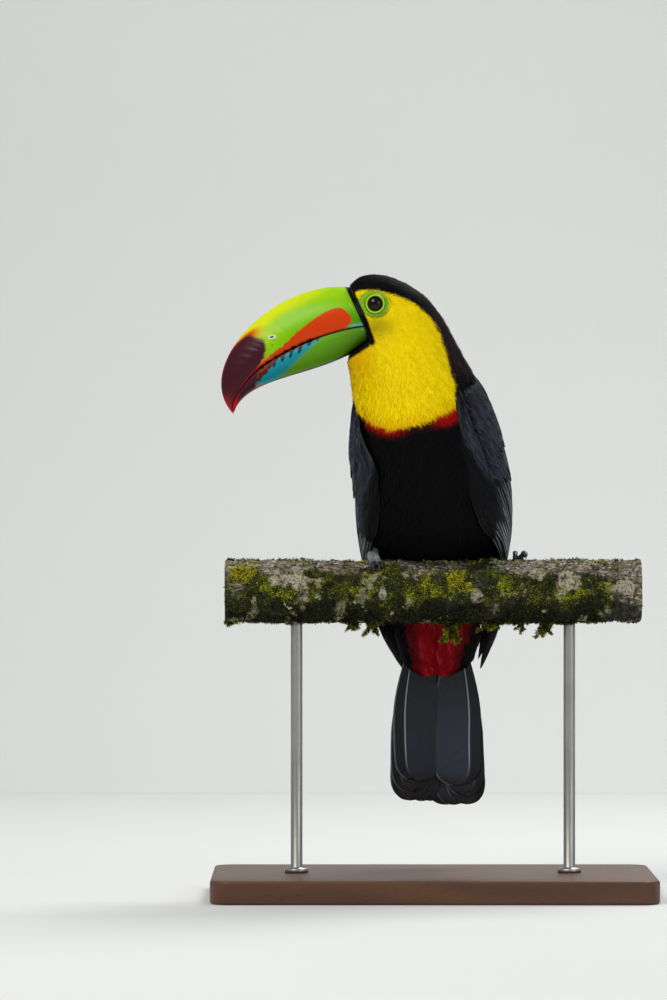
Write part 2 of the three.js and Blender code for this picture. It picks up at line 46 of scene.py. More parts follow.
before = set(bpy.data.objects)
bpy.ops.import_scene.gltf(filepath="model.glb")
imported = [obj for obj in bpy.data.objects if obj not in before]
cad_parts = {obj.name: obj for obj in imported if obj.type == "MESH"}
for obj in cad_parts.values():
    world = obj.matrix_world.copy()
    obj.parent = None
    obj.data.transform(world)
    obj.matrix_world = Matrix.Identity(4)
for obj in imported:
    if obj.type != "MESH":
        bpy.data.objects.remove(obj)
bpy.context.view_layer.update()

MM = 0.001
SIDES = {"left": 1, "right": -1}     # the bird's own sides, at the trunk +X and -X


def rgb(red, green, blue):
    """A linear colour from one on the 0 to 255 display scale."""
    scaled = np.array([red, green, blue]) / 255
    return tuple(np.where(scaled < 0.04045, scaled / 12.92, ((scaled + 0.055) / 1.055) ** 2.4))


def ramp(x, low, high):
    """0 below low and 1 above high, with a smooth rise between; low may lie above high."""
    t = np.clip((x - low) / (high - low), 0, 1)
    return t * t * (3 - 2 * t)


def spline_weights(samples, count, closed=False):
    """Uniform cubic B-spline weights: a row for each sample in 0..1 over count knots."""
    place = np.asarray(samples) * (count if closed else count - 1)
    knot = np.floor(place).astype(int)
    f = place - knot
    parts = [(1 - f) ** 3, 3 * f ** 3 - 6 * f ** 2 + 4, 1 + 3 * f + 3 * f ** 2 - 3 * f ** 3, f ** 3]
    columns = knot[:, None] + np.arange(-1, 3)
    columns = columns % count if closed else np.clip(columns, 0, count - 1)
    weights = np.zeros((len(place), count))
    np.add.at(weights, (np.arange(len(place))[:, None], columns), np.stack(parts, axis=1) / 6)
    return weights


def along_table(table, samples):
    """Rows of a small table read along it by a smooth cubic through its rows (Catmull-Rom)."""
    rows = np.asarray(table, dtype=float)
    place = np.asarray(samples) * (len(rows) - 1)
    knot = np.clip(np.floor(place).astype(int), 0, len(rows) - 2)
    f = (place - knot)[..., None]
    first, last = 2 * rows[0] - rows[1], 2 * rows[-1] - rows[-2]
    padded = np.concatenate([first[None], rows, last[None]])
    a, b, c, d = (padded[knot + k] for k in range(4))
    return b + 0.5 * f * (c - a + f * (2 * a - 5 * b + 4 * c - d + f * (3 * (b - c) + d - a)))


def bezier(ends, t):
    """Points of a cubic Bezier curve: its four ends weighted by Bernstein's polynomials."""
    t = np.asarray(t)[..., None]
    a, b, c, d = (np.array(end) for end in ends)
    return (1 - t) ** 3 * a + 3 * (1 - t) ** 2 * t * b + 3 * (1 - t) * t ** 2 * c + t ** 3 * d


def unit(vectors):
    """The vectors' directions, each of length 1."""
    return vectors / np.maximum(np.linalg.norm(vectors, axis=-1, keepdims=True), 1e-12)


def round_angles(count):
    """Evenly spaced angles of a full turn, in radians."""
    return np.arange(count) * 2 * math.pi / count


def waves(x, y, z, seed, scale):
    """Smooth noise of about -1 to 1: a sum of sines of turned coordinates."""
    rng = np.random.default_rng(seed)
    total = np.zeros(np.broadcast(x, y, z).shape)
    for _ in range(7):
        turn = unit(rng.normal(size=3)) * rng.uniform(0.6, 1.7) / scale
        total = total + np.sin(turn[0] * x + turn[1] * y + turn[2] * z + rng.uniform(0, 2 * math.pi))
    return total / 3.2


# ------------ Meshes ------------

def grid_faces(rows, columns, closed=False):
    """The quads of a grid of points; closed joins its last column to its first."""
    r = np.arange(rows - 1)[:, None] * columns
    c = np.arange(columns if closed else columns - 1)[None]
    after = (c + 1) % columns
    return np.stack([r + c, r + after, r + after + columns, r + c + columns], axis=-1).reshape(-1, 4)


def many_faces(faces, size, count):
    """The faces of count copies of a grid whose points come one grid after another."""
    return (faces[None] + size * np.arange(count)[:, None, None]).reshape(-1, faces.shape[-1])


def joined(parts):
    """One (points, faces, ends) from several; ends are the rings of points to close."""
    points, faces, ends, start = [], [], [], 0
    for part_points, part_faces, part_ends in parts:
        points.append(part_points.reshape(-1, 3))
        faces.append(part_faces + start)
        ends += [np.asarray(ring) + start for ring in part_ends]
        start += len(points[-1])
    return np.concatenate(points), np.concatenate(faces), ends


def tube(points):
    """
    A closed body from rings of points, with the rings at both ends closed. Its faces are turned
    to make its volume, the sum of the triple products of its faces' corners, positive.
    """
    rows, columns = points.shape[:2]
    faces = grid_faces(rows, columns, closed=True)
    ring = np.arange(columns)
    ends = [ring[::-1], (rows - 1) * columns + ring]
    flat = points.reshape(-1, 3) - points.reshape(-1, 3).mean(axis=0)
    a, b, c, d = (flat[faces[:, k]] for k in range(4))
    volume = np.einsum("ij,ij->", a, np.cross(b, c)) + np.einsum("ij,ij->", a, np.cross(c, d))
    if volume < 0:
        faces, ends = faces[:, ::-1], [end[::-1] for end in ends]
    return points, faces, ends


def limb(path, radii, around, reference):
    """Rings of points round a path: radii may differ round it; reference fixes angle zero."""
    way = unit(np.gradient(path, axis=0))
    first = unit(np.cross(way, reference))
    second = np.cross(way, first)
    angle = round_angles(around)
    ring = np.cos(angle)[None, :, None] * first[:, None] + np.sin(angle)[None, :, None] * second[:, None]
    return path[:, None] + np.broadcast_to(radii, ring.shape[:2])[..., None] * ring


def make_piece(name, shape, finish, replaced=(), marks=None, maps=None, normals=None):
    """
    A piece of the model from a shape: its points, its quads and the rings of points to close.
    Each point has a number or colour in each of marks, named attributes, a place in each of
    maps, named UV maps, and in normals the direction that shades it.
    """
    points, faces, ends = shape
    points = np.ascontiguousarray(points, dtype=np.float32).reshape(-1, 3)
    mesh = bpy.data.meshes.new(name)
    mesh.vertices.add(len(points))
    mesh.vertices.foreach_set("co", points.ravel())
    loops = np.concatenate([faces.ravel(), *[np.asarray(ring) for ring in ends]]).astype(np.int32)
    sizes = np.concatenate([np.full(len(faces), faces.shape[1]), [len(ring) for ring in ends]])
    starts = (np.cumsum(sizes) - sizes).astype(np.int32)
    mesh.loops.add(len(loops))
    mesh.loops.foreach_set("vertex_index", loops)
    mesh.polygons.add(len(starts))
    mesh.polygons.foreach_set("loop_start", starts)
    mesh.update(calc_edges=True)
    mesh.polygons.foreach_set("use_smooth", np.ones(len(starts), dtype=bool))
    for label, values in (marks or {}).items():
        kind = "FLOAT_COLOR" if values.ndim == 2 else "FLOAT"
        layer = mesh.attributes.new(label, kind, "POINT")
        layer.data.foreach_set("color" if values.ndim == 2 else "value", values.astype(np.float32).ravel())
    for label, values in (maps or {}).items():
        corners = np.zeros((len(loops), 2), dtype=np.float32)
        corners[:faces.size] = values.reshape(-1, 2)[faces.ravel()]
        mesh.uv_layers.new(name=label).data.foreach_set("uv", corners.ravel())
    mesh.validate()
    if normals is not None:
        layer = mesh.attributes.new("custom_normal", "FLOAT_VECTOR", "POINT")
        layer.data.foreach_set("vector", np.ascontiguousarray(normals, dtype=np.float32).ravel())
    piece = bpy.data.objects.new(name, mesh)
    bpy.context.scene.collection.objects.link(piece)
    mesh.materials.append(finish)
    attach(piece, "root")
    if replaced:
        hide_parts(*replaced)
    return piece


# ------------ Surfaces read from the solids ------------

def solid_triangles(*names):
    """The corners of all triangles of some nodes, as an array of (triangle, corner, xyz)."""
    found = []
    for name in names:
        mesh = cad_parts[name].data
        mesh.calc_loop_triangles()
        points = np.empty(len(mesh.vertices) * 3)
        mesh.vertices.foreach_get("co", points)
        corners = np.empty(len(mesh.loop_triangles) * 3, dtype=np.int32)
        mesh.loop_triangles.foreach_get("vertices", corners)
        found.append(points.reshape(-1, 3)[corners.reshape(-1, 3)])
    return np.concatenate(found)


SLACK = 1e-6             # how far over a triangle's edge a crossing still counts, so none is missed


def cast(origin, directions, triangles):
    """
    How far along each direction from origin its last crossing with the triangles lies, or nan:
    origin + r direction = a corner + p edge + q edge, solved for r, p and q by Cramer's rule.
    """
    a = triangles[:, 0]
    e1, e2 = triangles[:, 1] - a, triangles[:, 2] - a
    across = np.cross(directions[:, None], e2[None])
    det = np.einsum("rtk,tk->rt", across, e1)
    with np.errstate(divide="ignore", invalid="ignore"):
        away = origin - a
        p = np.einsum("rtk,tk->rt", across, away) / det
        turned = np.cross(away, e1)
        q = np.einsum("rk,tk->rt", directions, turned) / det
        reach = np.einsum("tk,tk->t", e2, turned)[None] / det
        hit = (p >= -SLACK) & (q >= -SLACK) & (p + q <= 1 + SLACK) & (reach > 0) & (np.abs(det) > 1e-14)
    reach = np.where(hit, reach, -1).max(axis=1)
    return np.where(reach > 0, reach, np.nan)


def cast_slice(origin, first, second, angles, triangles):
    """Last crossings of a fan of rays in the plane of the axes first and second."""
    normal = np.cross(first, second)
    height = (triangles - origin) @ normal
    crossing = triangles[(height.min(axis=1) <= 0) & (height.max(axis=1) >= 0)]
    directions = np.cos(angles)[:, None] * first + np.sin(angles)[:, None] * second
    if not len(crossing):
        return np.full(len(angles), np.nan)
    return cast(origin, directions, crossing)


def fill_gaps(grid, closed):
    """The grid with each nan taken from the nearest values before and after it in its row."""
    filled = grid.copy()
    for row in filled:
        known = np.flatnonzero(~np.isnan(row))
        places = np.arange(len(row))
        if len(known):
            row[:] = np.interp(places, known, row[known], period=len(row) if closed else None)
    return filled


class Surface:
    """
    A smooth surface over a net of points: u runs along it and v across it, both from 0 to 1, by
    a cubic B-spline. It is read between the points of a fine grid for what lies on it.
    """

    def __init__(self, net, closed, fine=(260, 256), turned=1):
        self.net = net
        self.turned = turned
        self.closed = closed
        self.rows, self.columns = fine
        across = self.columns + (0 if closed else 1)
        self.points = self.grid(np.linspace(0, 1, self.rows), np.arange(across) / self.columns)
        step = np.roll(self.points, -1, 1) - np.roll(self.points, 1, 1)
        if closed:
            self.by_v = step * self.columns / 2
        else:
            self.by_v = np.gradient(self.points, axis=1) * self.columns
        self.by_u = np.gradient(self.points, axis=0) * (self.rows - 1)
        self.normals = unit(np.cross(self.by_u, self.by_v)) * turned

    def outward(self, faces):
        """Faces of grids whose rows run along u and columns across v, turned outwards."""
        return faces[:, ::-1] if self.turned > 0 else faces

    def grid(self, us, vs):
        """The surface's points at each of us and vs."""
        along = spline_weights(us, self.net.shape[0])
        across = spline_weights(vs, self.net.shape[1], self.closed)
        return np.einsum("ai,bj,ijk->abk", along, across, self.net, optimize=True)

    def read(self, field, u, v):
        """A field of the fine grid at any u and v, between its four nearest points."""
        row = np.clip(u, 0, 1) * (self.rows - 1)
        column = v * self.columns
        i = np.clip(np.floor(row).astype(int), 0, self.rows - 2)
        if self.closed:
            j = np.floor(column).astype(int)
            f, j, after = column - j, j % self.columns, (j + 1) % self.columns
        else:
            j = np.clip(np.floor(column).astype(int), 0, self.columns - 1)
            f, after = np.clip(column - j, 0, 1), j + 1
        e = row - i
        extra = (1,) * (field.ndim - 2)
        e, f = e.reshape(e.shape + extra), f.reshape(f.shape + extra)
        near = field[i, j] * (1 - f) + field[i, after] * f
        far = field[i + 1, j] * (1 - f) + field[i + 1, after] * f
        return near * (1 - e) + far * e

    def lay(self, u, v, along, across, height):
        """
        Points over the surface, and its normals there: along and across are distances from the
        root at (u, v), towards greater u and v, and height is the distance out from the surface.
        """
        du = np.linalg.norm(self.read(self.by_u, u, v), axis=-1)
        dv = np.linalg.norm(self.read(self.by_v, u, v), axis=-1)
        wider = (1,) * (along.ndim - u.ndim)
        du, dv = du.reshape(du.shape + wider), dv.reshape(dv.shape + wider)
        u, v = u.reshape(u.shape + wider), v.reshape(v.shape + wider)
        u, v = u + along / du, v + across / dv
        return self.over(u, v, height), self.read(self.normals, u, v)

    def over(self, u, v, height):
        """Points at a height over the surface, which runs on straight beyond its edges."""
        points = self.read(self.points, u, v)
        points = points + (u - np.clip(u, 0, 1))[..., None] * self.read(self.by_u, u, v)
        if not self.closed:
            points = points + (v - np.clip(v, 0, 1))[..., None] * self.read(self.by_v, u, v)
        return points + self.read(self.normals, u, v) * height[..., None]

    def find(self, x, z, u, v):
        """The u and v at which the surface passes x and z, by Newton's method from a start."""
        u, v = np.broadcast_to(u, x.shape).copy(), np.broadcast_to(v, x.shape).copy()
        for _ in range(12):
            miss = self.read(self.points, u, v)
            dx, dz = x - miss[..., 0], z - miss[..., 2]
            by_u, by_v = self.read(self.by_u, u, v), self.read(self.by_v, u, v)
            det = by_u[..., 0] * by_v[..., 2] - by_u[..., 2] * by_v[..., 0]
            u += 0.7 * (dx * by_v[..., 2] - dz * by_v[..., 0]) / det
            v += 0.7 * (dz * by_u[..., 0] - dx * by_u[..., 2]) / det
        return u, v


# ------------ Finishes ------------

class Value:
    """A node's number. Arithmetic on it adds Math nodes."""

    def __init__(self, finish, socket):
        self.finish = finish
        self.socket = socket

    def maths(self, operation, *others):
        """The value of a Math node whose first number is this one."""
        node = self.finish.node("Math", {"operation": operation}, dict(enumerate((self, *others))))
        return Value(self.finish, node.outputs[0])

    def __add__(self, other):
        return self.maths("ADD", other)

    def __sub__(self, other):
        return self.maths("SUBTRACT", other)

    def __mul__(self, other):
        return self.maths("MULTIPLY", other)

    def __truediv__(self, other):
        return self.maths("DIVIDE", other)

    def __pow__(self, other):
        return self.maths("POWER", other)

    def __rsub__(self, other):
        node = self.finish.node("Math", {"operation": "SUBTRACT"}, {0: other, 1: self})
        return Value(self.finish, node.outputs[0])

    def __abs__(self):
        return self.maths("ABSOLUTE")

    __radd__ = __add__
    __rmul__ = __mul__

    def at_least(self, other):
        """This number, or another where that is higher."""
        return self.maths("MAXIMUM", other)

    def at_most(self, other):
        """This number, or another where that is lower."""
        return self.maths("MINIMUM", other)

    def wave(self):
        """A sine wave of this number in radians, from 0 to 1."""
        return self.maths("SINE") * 0.5 + 0.5

    def ramp(self, low, high):
        """0 below low and 1 above high, smooth between; low may lie above high."""
        ends = {1: low, 2: high} if low < high else {1: high, 2: low}
        settings = {"interpolation_type": "SMOOTHSTEP"}
        node = self.finish.node("MapRange", settings, {0: self, **ends})
        rising = Value(self.finish, node.outputs[0])
        return rising if low < high else 1 - rising


class Finish:
    """A material under construction: nodes that feed one Principled BSDF."""

    def __init__(self, name, **constants):
        self.material = bpy.data.materials.new(name)
        self.material.use_nodes = True
        self.tree = self.material.node_tree
        self.tree.nodes.clear()
        self.shader = self.node("BsdfPrincipled")
        output = self.node("OutputMaterial")
        self.tree.links.new(self.shader.outputs[0], output.inputs[0])
        for label, value in constants.items():
            self.feed(label.replace("_", " "), value)

    def node(self, kind, settings=None, inputs=None):
        """A node of a type, with its settings first and then its sockets' values or links."""
        node = self.tree.nodes.new("ShaderNode" + kind)
        for label, value in (settings or {}).items():
            setattr(node, label, value)
        for key, value in (inputs or {}).items():
            self.put(node.inputs[key], value)
        return node

    def put(self, socket, value):
        """Links a value or a socket to a socket, or gives it a number, a colour or a shade's name."""
        if isinstance(value, Value):
            self.tree.links.new(value.socket, socket)
        elif isinstance(value, bpy.types.NodeSocket):
            self.tree.links.new(value, socket)
        elif socket.type == "RGBA":
            socket.default_value = (*tuple(SHADES[value] if isinstance(value, str) else value)[:3], 1)
        else:
            socket.default_value = value

    def feed(self, label, value):
        """Sets or links one of the shader's own sockets."""
        self.put(self.shader.inputs[label], value)

    def own(self):
        """The object's own coordinates."""
        return self.node("TexCoord").outputs["Object"]

    def numbers(self, vector):
        """The three numbers of a vector."""
        return [Value(self, socket) for socket in self.node("SeparateXYZ", None, {0: vector}).outputs]

    def place(self):
        """The x, y and z of the object's own coordinates."""
        return self.numbers(self.own())

    def map(self, label):
        """The two numbers of a UV map."""
        return self.numbers(self.node("UVMap", {"uv_map": label}).outputs[0])[:2]

    def mark(self, label):
        """A number kept on the mesh's points."""
        return Value(self, self.node("Attribute", {"attribute_name": label}).outputs["Fac"])

    def paint(self, label):
        """A colour kept on the mesh's points."""
        return self.node("Attribute", {"attribute_name": label}).outputs["Color"]

    def vector(self, x, y, z=0.0):
        """A vector of three numbers."""
        return self.node("CombineXYZ", None, {0: x, 1: y, 2: z}).outputs[0]

    def noise(self, scale, detail=3.0, vector=None, roughness=0.5):
        """Noise of 0 to 1; scale is in features per metre."""
        sockets = {"Vector": vector or self.own(), "Scale": scale, "Detail": detail, "Roughness": roughness}
        return Value(self, self.node("TexNoise", None, sockets).outputs[0])

    def cells(self, scale, vector=None, feature="F1"):
        """A distance in the Voronoi cells of random points, by default from the nearest point."""
        sockets = {"Vector": vector or self.own(), "Scale": scale}
        return Value(self, self.node("TexVoronoi", {"feature": feature}, sockets).outputs["Distance"])

    def blend(self, factor, first, second):
        """A colour between two colours, the first at 0 and the second at 1."""
        settings = {"data_type": "RGBA", "clamp_factor": True}
        return self.node("Mix", settings, {0: factor, 6: first, 7: second}).outputs[2]

    def layers(self, base, *painted):
        """A colour with (mask, colour) pairs laid over it in turn."""
        for mask, colour in painted:
            base = self.blend(mask, base, colour)
        return base

    def paint_over(self, base, *painted):
        """Feeds the colour: a base with (mask, colour) pairs laid over it in turn."""
        self.feed("Base Color", self.layers(base, *painted))

    def bump(self, height, distance, strength=1.0):
        """Feeds the normal from heights of 0 to 1 that stand for a distance in metres."""
        sockets = {"Height": height, "Distance": distance, "Strength": strength}
        self.feed("Normal", self.node("Bump", None, sockets).outputs[0])


# ------------ What a user may change, and colours that stay ------------

# Linear colours of small marks that no setting holds.
SHADES = {
    "barb gap": (0.002, 0.002, 0.003), "barb sheen": (0.030, 0.034, 0.044),
    "worn barbs": (0.06, 0.05, 0.042), "quill shaft": (0.03, 0.03, 0.035),
    "covert shaft": (0.02, 0.02, 0.025), "tail shaft": (0.36, 0.37, 0.38),
    "lid groove": (0.03, 0.10, 0.004), "inner lid": (0.05, 0.13, 0.006),
    "lid margin": (0.006, 0.008, 0.006), "base line": (0.003, 0.003, 0.004),
    "iris shade": (0.001, 0.001, 0.001), "pupil": (0.001, 0.001, 0.0015),
    "eye rim": (0.003, 0.002, 0.002), "bill fleck": (0.05, 0.035, 0.004),
    "bill rust": (0.03, 0.008, 0.004), "cutting edge": (0.05, 0.012, 0.006),
    "scar rim": (0.62, 0.60, 0.42), "scar": (0.03, 0.012, 0.010), "light keel": (0.105, 0.300, 0.004),
    "dark keel": (0.040, 0.125, 0.002), "notch": (0.004, 0.014, 0.016), "red line": (0.20, 0.018, 0.0),
    "dark red line": (0.05, 0.006, 0.003), "lip": (0.01, 0.012, 0.01), "blue scute": (0.30, 0.34, 0.37),
    "scute crease": (0.05, 0.055, 0.06), "worn scute": (0.46, 0.45, 0.40),
    "foot shade": (0.018, 0.020, 0.024), "claw streak": (0.06, 0.065, 0.07),
    "warm bark": (0.28, 0.225, 0.195), "pale grain": (0.42, 0.37, 0.33), "algae": (0.115, 0.105, 0.032),
    "pale fleck": (0.60, 0.55, 0.50), "dark fleck": (0.045, 0.036, 0.026), "dirt": (0.05, 0.045, 0.035),
    "pale lichen": (0.66, 0.62, 0.52), "lichen ring": (0.30, 0.225, 0.19),
    "lichen spot": (0.075, 0.08, 0.04), "timber": (0.36, 0.24, 0.13),
    "growth ring": (0.13, 0.075, 0.035), "bark crack": (0.016, 0.013, 0.010),
    "damp bark": (0.008, 0.010, 0.004), "moss shade": (0.01, 0.012, 0.002),
    "wood vein": (0.055, 0.024, 0.011), "wood pore": (0.02, 0.009, 0.005),
    "metal smudge": (0.22, 0.22, 0.21), "floor cloud": (0.62, 0.62, 0.6), "feather streak": (0, 0, 0),
}


def amount(name, description, default, **more):
    """A setting that is a number."""
    return FloatProperty(name=name, description=description, default=default, **more)


def size(name, description, default):
    """A setting that is a length in metres."""
    return amount(name, description, default, unit="LENGTH")


def colour(name, description, default):
    """A setting that is a linear colour."""
    return FloatVectorProperty(
        name=name, description=description, default=default, size=3, subtype="COLOR", min=0, max=1)


class PlumageSettings(bpy.types.PropertyGroup):
    """Feather colours, lengths and number"""

    black: colour("Black", "The crown, breast and belly", rgb(6, 6, 8))
    nape: colour("Nape", "The warm gloss of the hind neck", rgb(46, 26, 32))
    yellow: colour("Yellow", "The bib and the cheeks", rgb(255, 226, 0))
    amber: colour("Amber", "The deeper yellow of the throat", rgb(236, 176, 0))
    # Painted shade: the darker yellow-green in the hollow under the eye.
    under_eye_shadow: colour("Olive", "The shade under the eye", rgb(132, 124, 4))
    band: colour("Band", "The red band under the bib", rgb(172, 4, 3))
    vent: colour("Undertail", "The undertail coverts", rgb(140, 4, 18))
    # Painted highlights: the paler streaks along the undertail's strands.
    streak: colour("Undertail streaks", "Paler plumes in the undertail coverts", rgb(206, 44, 56))
    rump: colour("Uppertail", "The uppertail coverts", rgb(236, 232, 206))
    # The blue-grey of the painted sheen over the black wings.
    quill: colour("Wing", "The wings' quills and coverts", rgb(38, 41, 50))
    # The colour of the painted highlights along the edges of the quills and tail feathers.
    quill_highlight: colour("Quill edge", "The pale edges of the quills", rgb(168, 174, 182))
    tail: colour("Tail", "The tail feathers", rgb(34, 38, 45))
    tufts: IntProperty(name="Tufts", description="How many tufts cover the body", default=29500)
    softness: amount("Softness", "How much tufts stray from the lie of the coat", 0.16, subtype="ANGLE")


class FaceSettings(bpy.types.PropertyGroup):
    """The eyes and the bare skin round them"""

    opening: size("Eye opening", "Radius of the opening of the lids", 5.4 * MM)
    lid: colour("Lid", "The ring of the lids", rgb(188, 214, 30))
    green: colour("Green skin", "The bare skin round the eye", rgb(100, 158, 2))
    # Painted shade: the darker skin below the eye.
    under_eye_shadow: colour("Olive skin", "The shaded skin below the eye", rgb(108, 116, 4))
    yellow: colour("Yellow skin", "The rim of the bare skin", rgb(240, 214, 6))
    orange: colour("Orange skin", "The warm corner behind the eye", rgb(236, 160, 0))
    iris: colour("Iris", "The iris", rgb(36, 20, 12))


class BillSettings(bpy.types.PropertyGroup):
    """The bill's colours"""

    lime: colour("Lime", "The upper mandible's flanks", rgb(132, 192, 4))
    green: colour("Green", "The darker green near the face", rgb(84, 150, 2))
    yellow: colour("Yellow", "The upper mandible's ridge", rgb(214, 224, 10))
    orange: colour("Orange", "The long patch", rgb(204, 58, 0))
    maroon: colour("Maroon", "The tip", rgb(62, 18, 30))
    red: colour("Red", "The tip's ridge and point", rgb(186, 8, 20))
    teal: colour("Teal", "The lower mandible's fore half", rgb(10, 136, 150))
    pale: colour("Pale blue", "The streak at the corner of the mouth", rgb(110, 176, 176))
    black: colour("Black", "The line round the base and the notches", rgb(9, 9, 11))
    gloss: amount("Roughness", "Roughness of the horn", 0.32, min=0, max=1)


class PerchSettings(bpy.types.PropertyGroup):
    """The feet, the branch, its moss and the stand"""

    foot: colour("Feet", "The scaled skin of the feet", rgb(146, 148, 142))
    claw: colour("Claws", "The claws", rgb(34, 36, 40))
    bark: colour("Bark", "The branch's bark", rgb(104, 94, 80))
    lichen: colour("Lichen", "Pale crusts on the bark", rgb(150, 146, 118))
    moss: colour("Moss", "Bright moss", rgb(150, 158, 18))
    dark_moss: colour("Dark moss", "Moss in the shade", rgb(34, 40, 12))
    wood: colour("Stand wood", "The base", rgb(92, 58, 34))
    metal: colour("Rods", "The rods", rgb(168, 166, 160))
    sprigs: IntProperty(name="Moss sprigs", description="How many sprigs of moss", default=13000)


class StageSettings(bpy.types.PropertyGroup):
    """The floor, the lights and the camera"""

    floor: colour("Floor", "The floor and backdrop", rgb(222, 222, 218))
    light: amount("Light", "Strength of the main light in watts", 50.0)
    lens: amount("Lens", "Focal length in millimetres", 200.0)
    distance: size("Camera distance", "From the camera to the perch", 4.278)


# ------------ Skin ------------

# The bill's three lines, from its base to its tip, as the x and z ends of cubic curves.
CULMEN = [(-0.0643, 0.4678), (-0.1234, 0.4742), (-0.1877, 0.4052), (-0.1527, 0.3701)]
TOMIUM = [(-0.0524, 0.4373), (-0.0700, 0.4374), (-0.1484, 0.4144), (-0.1545, 0.3732)]
GONYS = [(-0.0488, 0.4263), (-0.0842, 0.3977), (-0.1429, 0.4024), (-0.1530, 0.3715)]

# The line inside the body from the bill's base, round the chin, to the undertail: x, y, z, then
# in degrees the lean of each slice's first axis from +X towards +Z and its second's towards +Z.
SPINE = [
    (-0.0642, -0.022, 0.4425, 90.5, 0), (-0.0600, -0.022, 0.4435, 80.0, 0),
    (-0.0529, -0.022, 0.4421, 70.6, 0), (-0.0433, -0.022, 0.4356, 58.1, 0),
    (-0.0337, -0.0215, 0.4247, 45.0, 2), (-0.0264, -0.020, 0.4106, 33.5, 6),
    (-0.0203, -0.018, 0.3965, 25.0, 12), (-0.0144, -0.015, 0.3810, 17.7, 17),
    (-0.0078, -0.011, 0.3575, 6.0, 19), (-0.0045, -0.005, 0.3338, 3.9, 19),
    (-0.0020, 0.002, 0.3075, 3.7, 19), (-0.0005, 0.010, 0.2860, 3.2, 17),
    (0.0007, 0.023, 0.2707, 3.1, 16), (0.0017, 0.036, 0.2555, 2.0, 11),
    (0.0032, 0.040, 0.2355, 0.9, 0), (0.0035, 0.039, 0.2120, 0.0, 0),
    (0.0027, 0.043, 0.1920, 0.0, 0), (0.0020, 0.047, 0.1770, 0.0, 0),
    (0.0017, 0.049, 0.1700, 0.0, 0),
]
STEPS = len(SPINE) - 1
HEAD_SLICES = 6          # how many steps of the spine the head takes
NET_ROWS = 5 * STEPS + 1
NET_COLUMNS = 96

# The coat's depth along the spine, from the bill's base to the undertail.
COAT_DEPTH = np.array([
    0.8, 1.3, 1.8, 2.4, 3.0, 3.8, 4.6, 5.2, 5.4, 5.4, 5.4, 5.2, 5.0, 5.0, 4.5, 4.0, 3.2, 2.2, 1.2,
]) * MM


# The bare skin round each eye is an oval of this half length and half height, whose middle lies
# this far before and below the eye's.
BARE = {"half_length": 13.4 * MM, "half_height": 11.8 * MM, "shift": 1.2 * MM, "drop": 0.2 * MM}


def eye_centre(side):
    """The middle of an eye's solid."""
    low, high = (np.array(corner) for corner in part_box("eye_" + side))
    return (low + high) / 2


def eye_width(side):
    """The width of an eye's solid."""
    low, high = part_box("eye_" + side)
    return high[0] - low[0]


HEAD_MIDDLE = float((eye_centre("left")[1] + eye_centre("right")[1]) / 2)


def spine_axes(samples):
    """The spine's points and its slices' first and second axes, at samples of 0 to 1 along it."""
    rows = along_table(SPINE, samples)
    lean, tilt = np.radians(rows[:, 3]), np.radians(rows[:, 4])
    none = np.zeros(len(rows))
    first = np.stack([np.cos(lean), none, np.sin(lean)], axis=1)
    second = np.stack([none, np.cos(tilt), np.sin(tilt)], axis=1)
    return rows[:, :3], first, second


def coat_depth(u):
    """The coat's depth at u along the body."""
    return np.interp(u * STEPS, np.arange(STEPS + 1), COAT_DEPTH)


def ahead_of_base(x, z):
    """How far a place lies ahead of the straight line of the bill's base, seen from its side."""
    (top_x, top_z), (low_x, low_z) = CULMEN[0], GONYS[0]
    line_x, line_z = unit(np.array([low_x - top_x, low_z - top_z])).tolist()
    return (x - top_x) * line_z - (z - top_z) * line_x


def within_bill(points):
    """
    How far points lie inside the bill's outline seen from its side: the lesser of the distance
    ahead of the straight line of its base and the height over its keel; past both lines it is
    less than 0 by the distance to the corner where they meet.
    """
    ahead = ahead_of_base(points[..., 0], points[..., 2])
    keel = bezier(GONYS, np.linspace(0, 0.6, 40))[::-1]
    above = points[..., 2] - np.interp(points[..., 0], keel[:, 0], keel[:, 1])
    corner = -np.hypot(np.minimum(ahead, 0), np.minimum(above, 0))
    return np.where((ahead < 0) & (above < 0), corner, np.minimum(ahead, above))


# Where the skin departs from the solids by more than the coat's depth. Slices are steps of the
# spine; a pair of heights or fades is for the bird's left and then its right.
SOCKET = 0.62            # an eye's socket, as a part of the eye's width
BILL_MARGIN = 2.2 * MM   # how far from the bill the solids are read
FLANKS = {"out": 16 * MM, "after": 0.7, "z": (0.195, 0.194), "fade": (0.025, 0.021)}
NAPE = {"out": 3.8 * MM, "slice": 4.0, "fade": 1.7}
VENT = {"wider": 0.30, "after": 0.8, "z": (0.190, 0.176)}
FACE_EDGE = {"slices": 1.8, "passes": 5}
BROW = {"inwards": 3.4 * MM, "slices": (0.9, 0.0)}
JAW = {"x": 4.5 * MM, "z": -7.5 * MM, "fade": 7 * MM, "passes": 14}


def rows_beside(grid):
    """The rows before and after each row of a grid, whose first and last stand in for none."""
    padded = np.concatenate([grid[:1], grid, grid[-1:]])
    return padded[:-2], padded[2:]


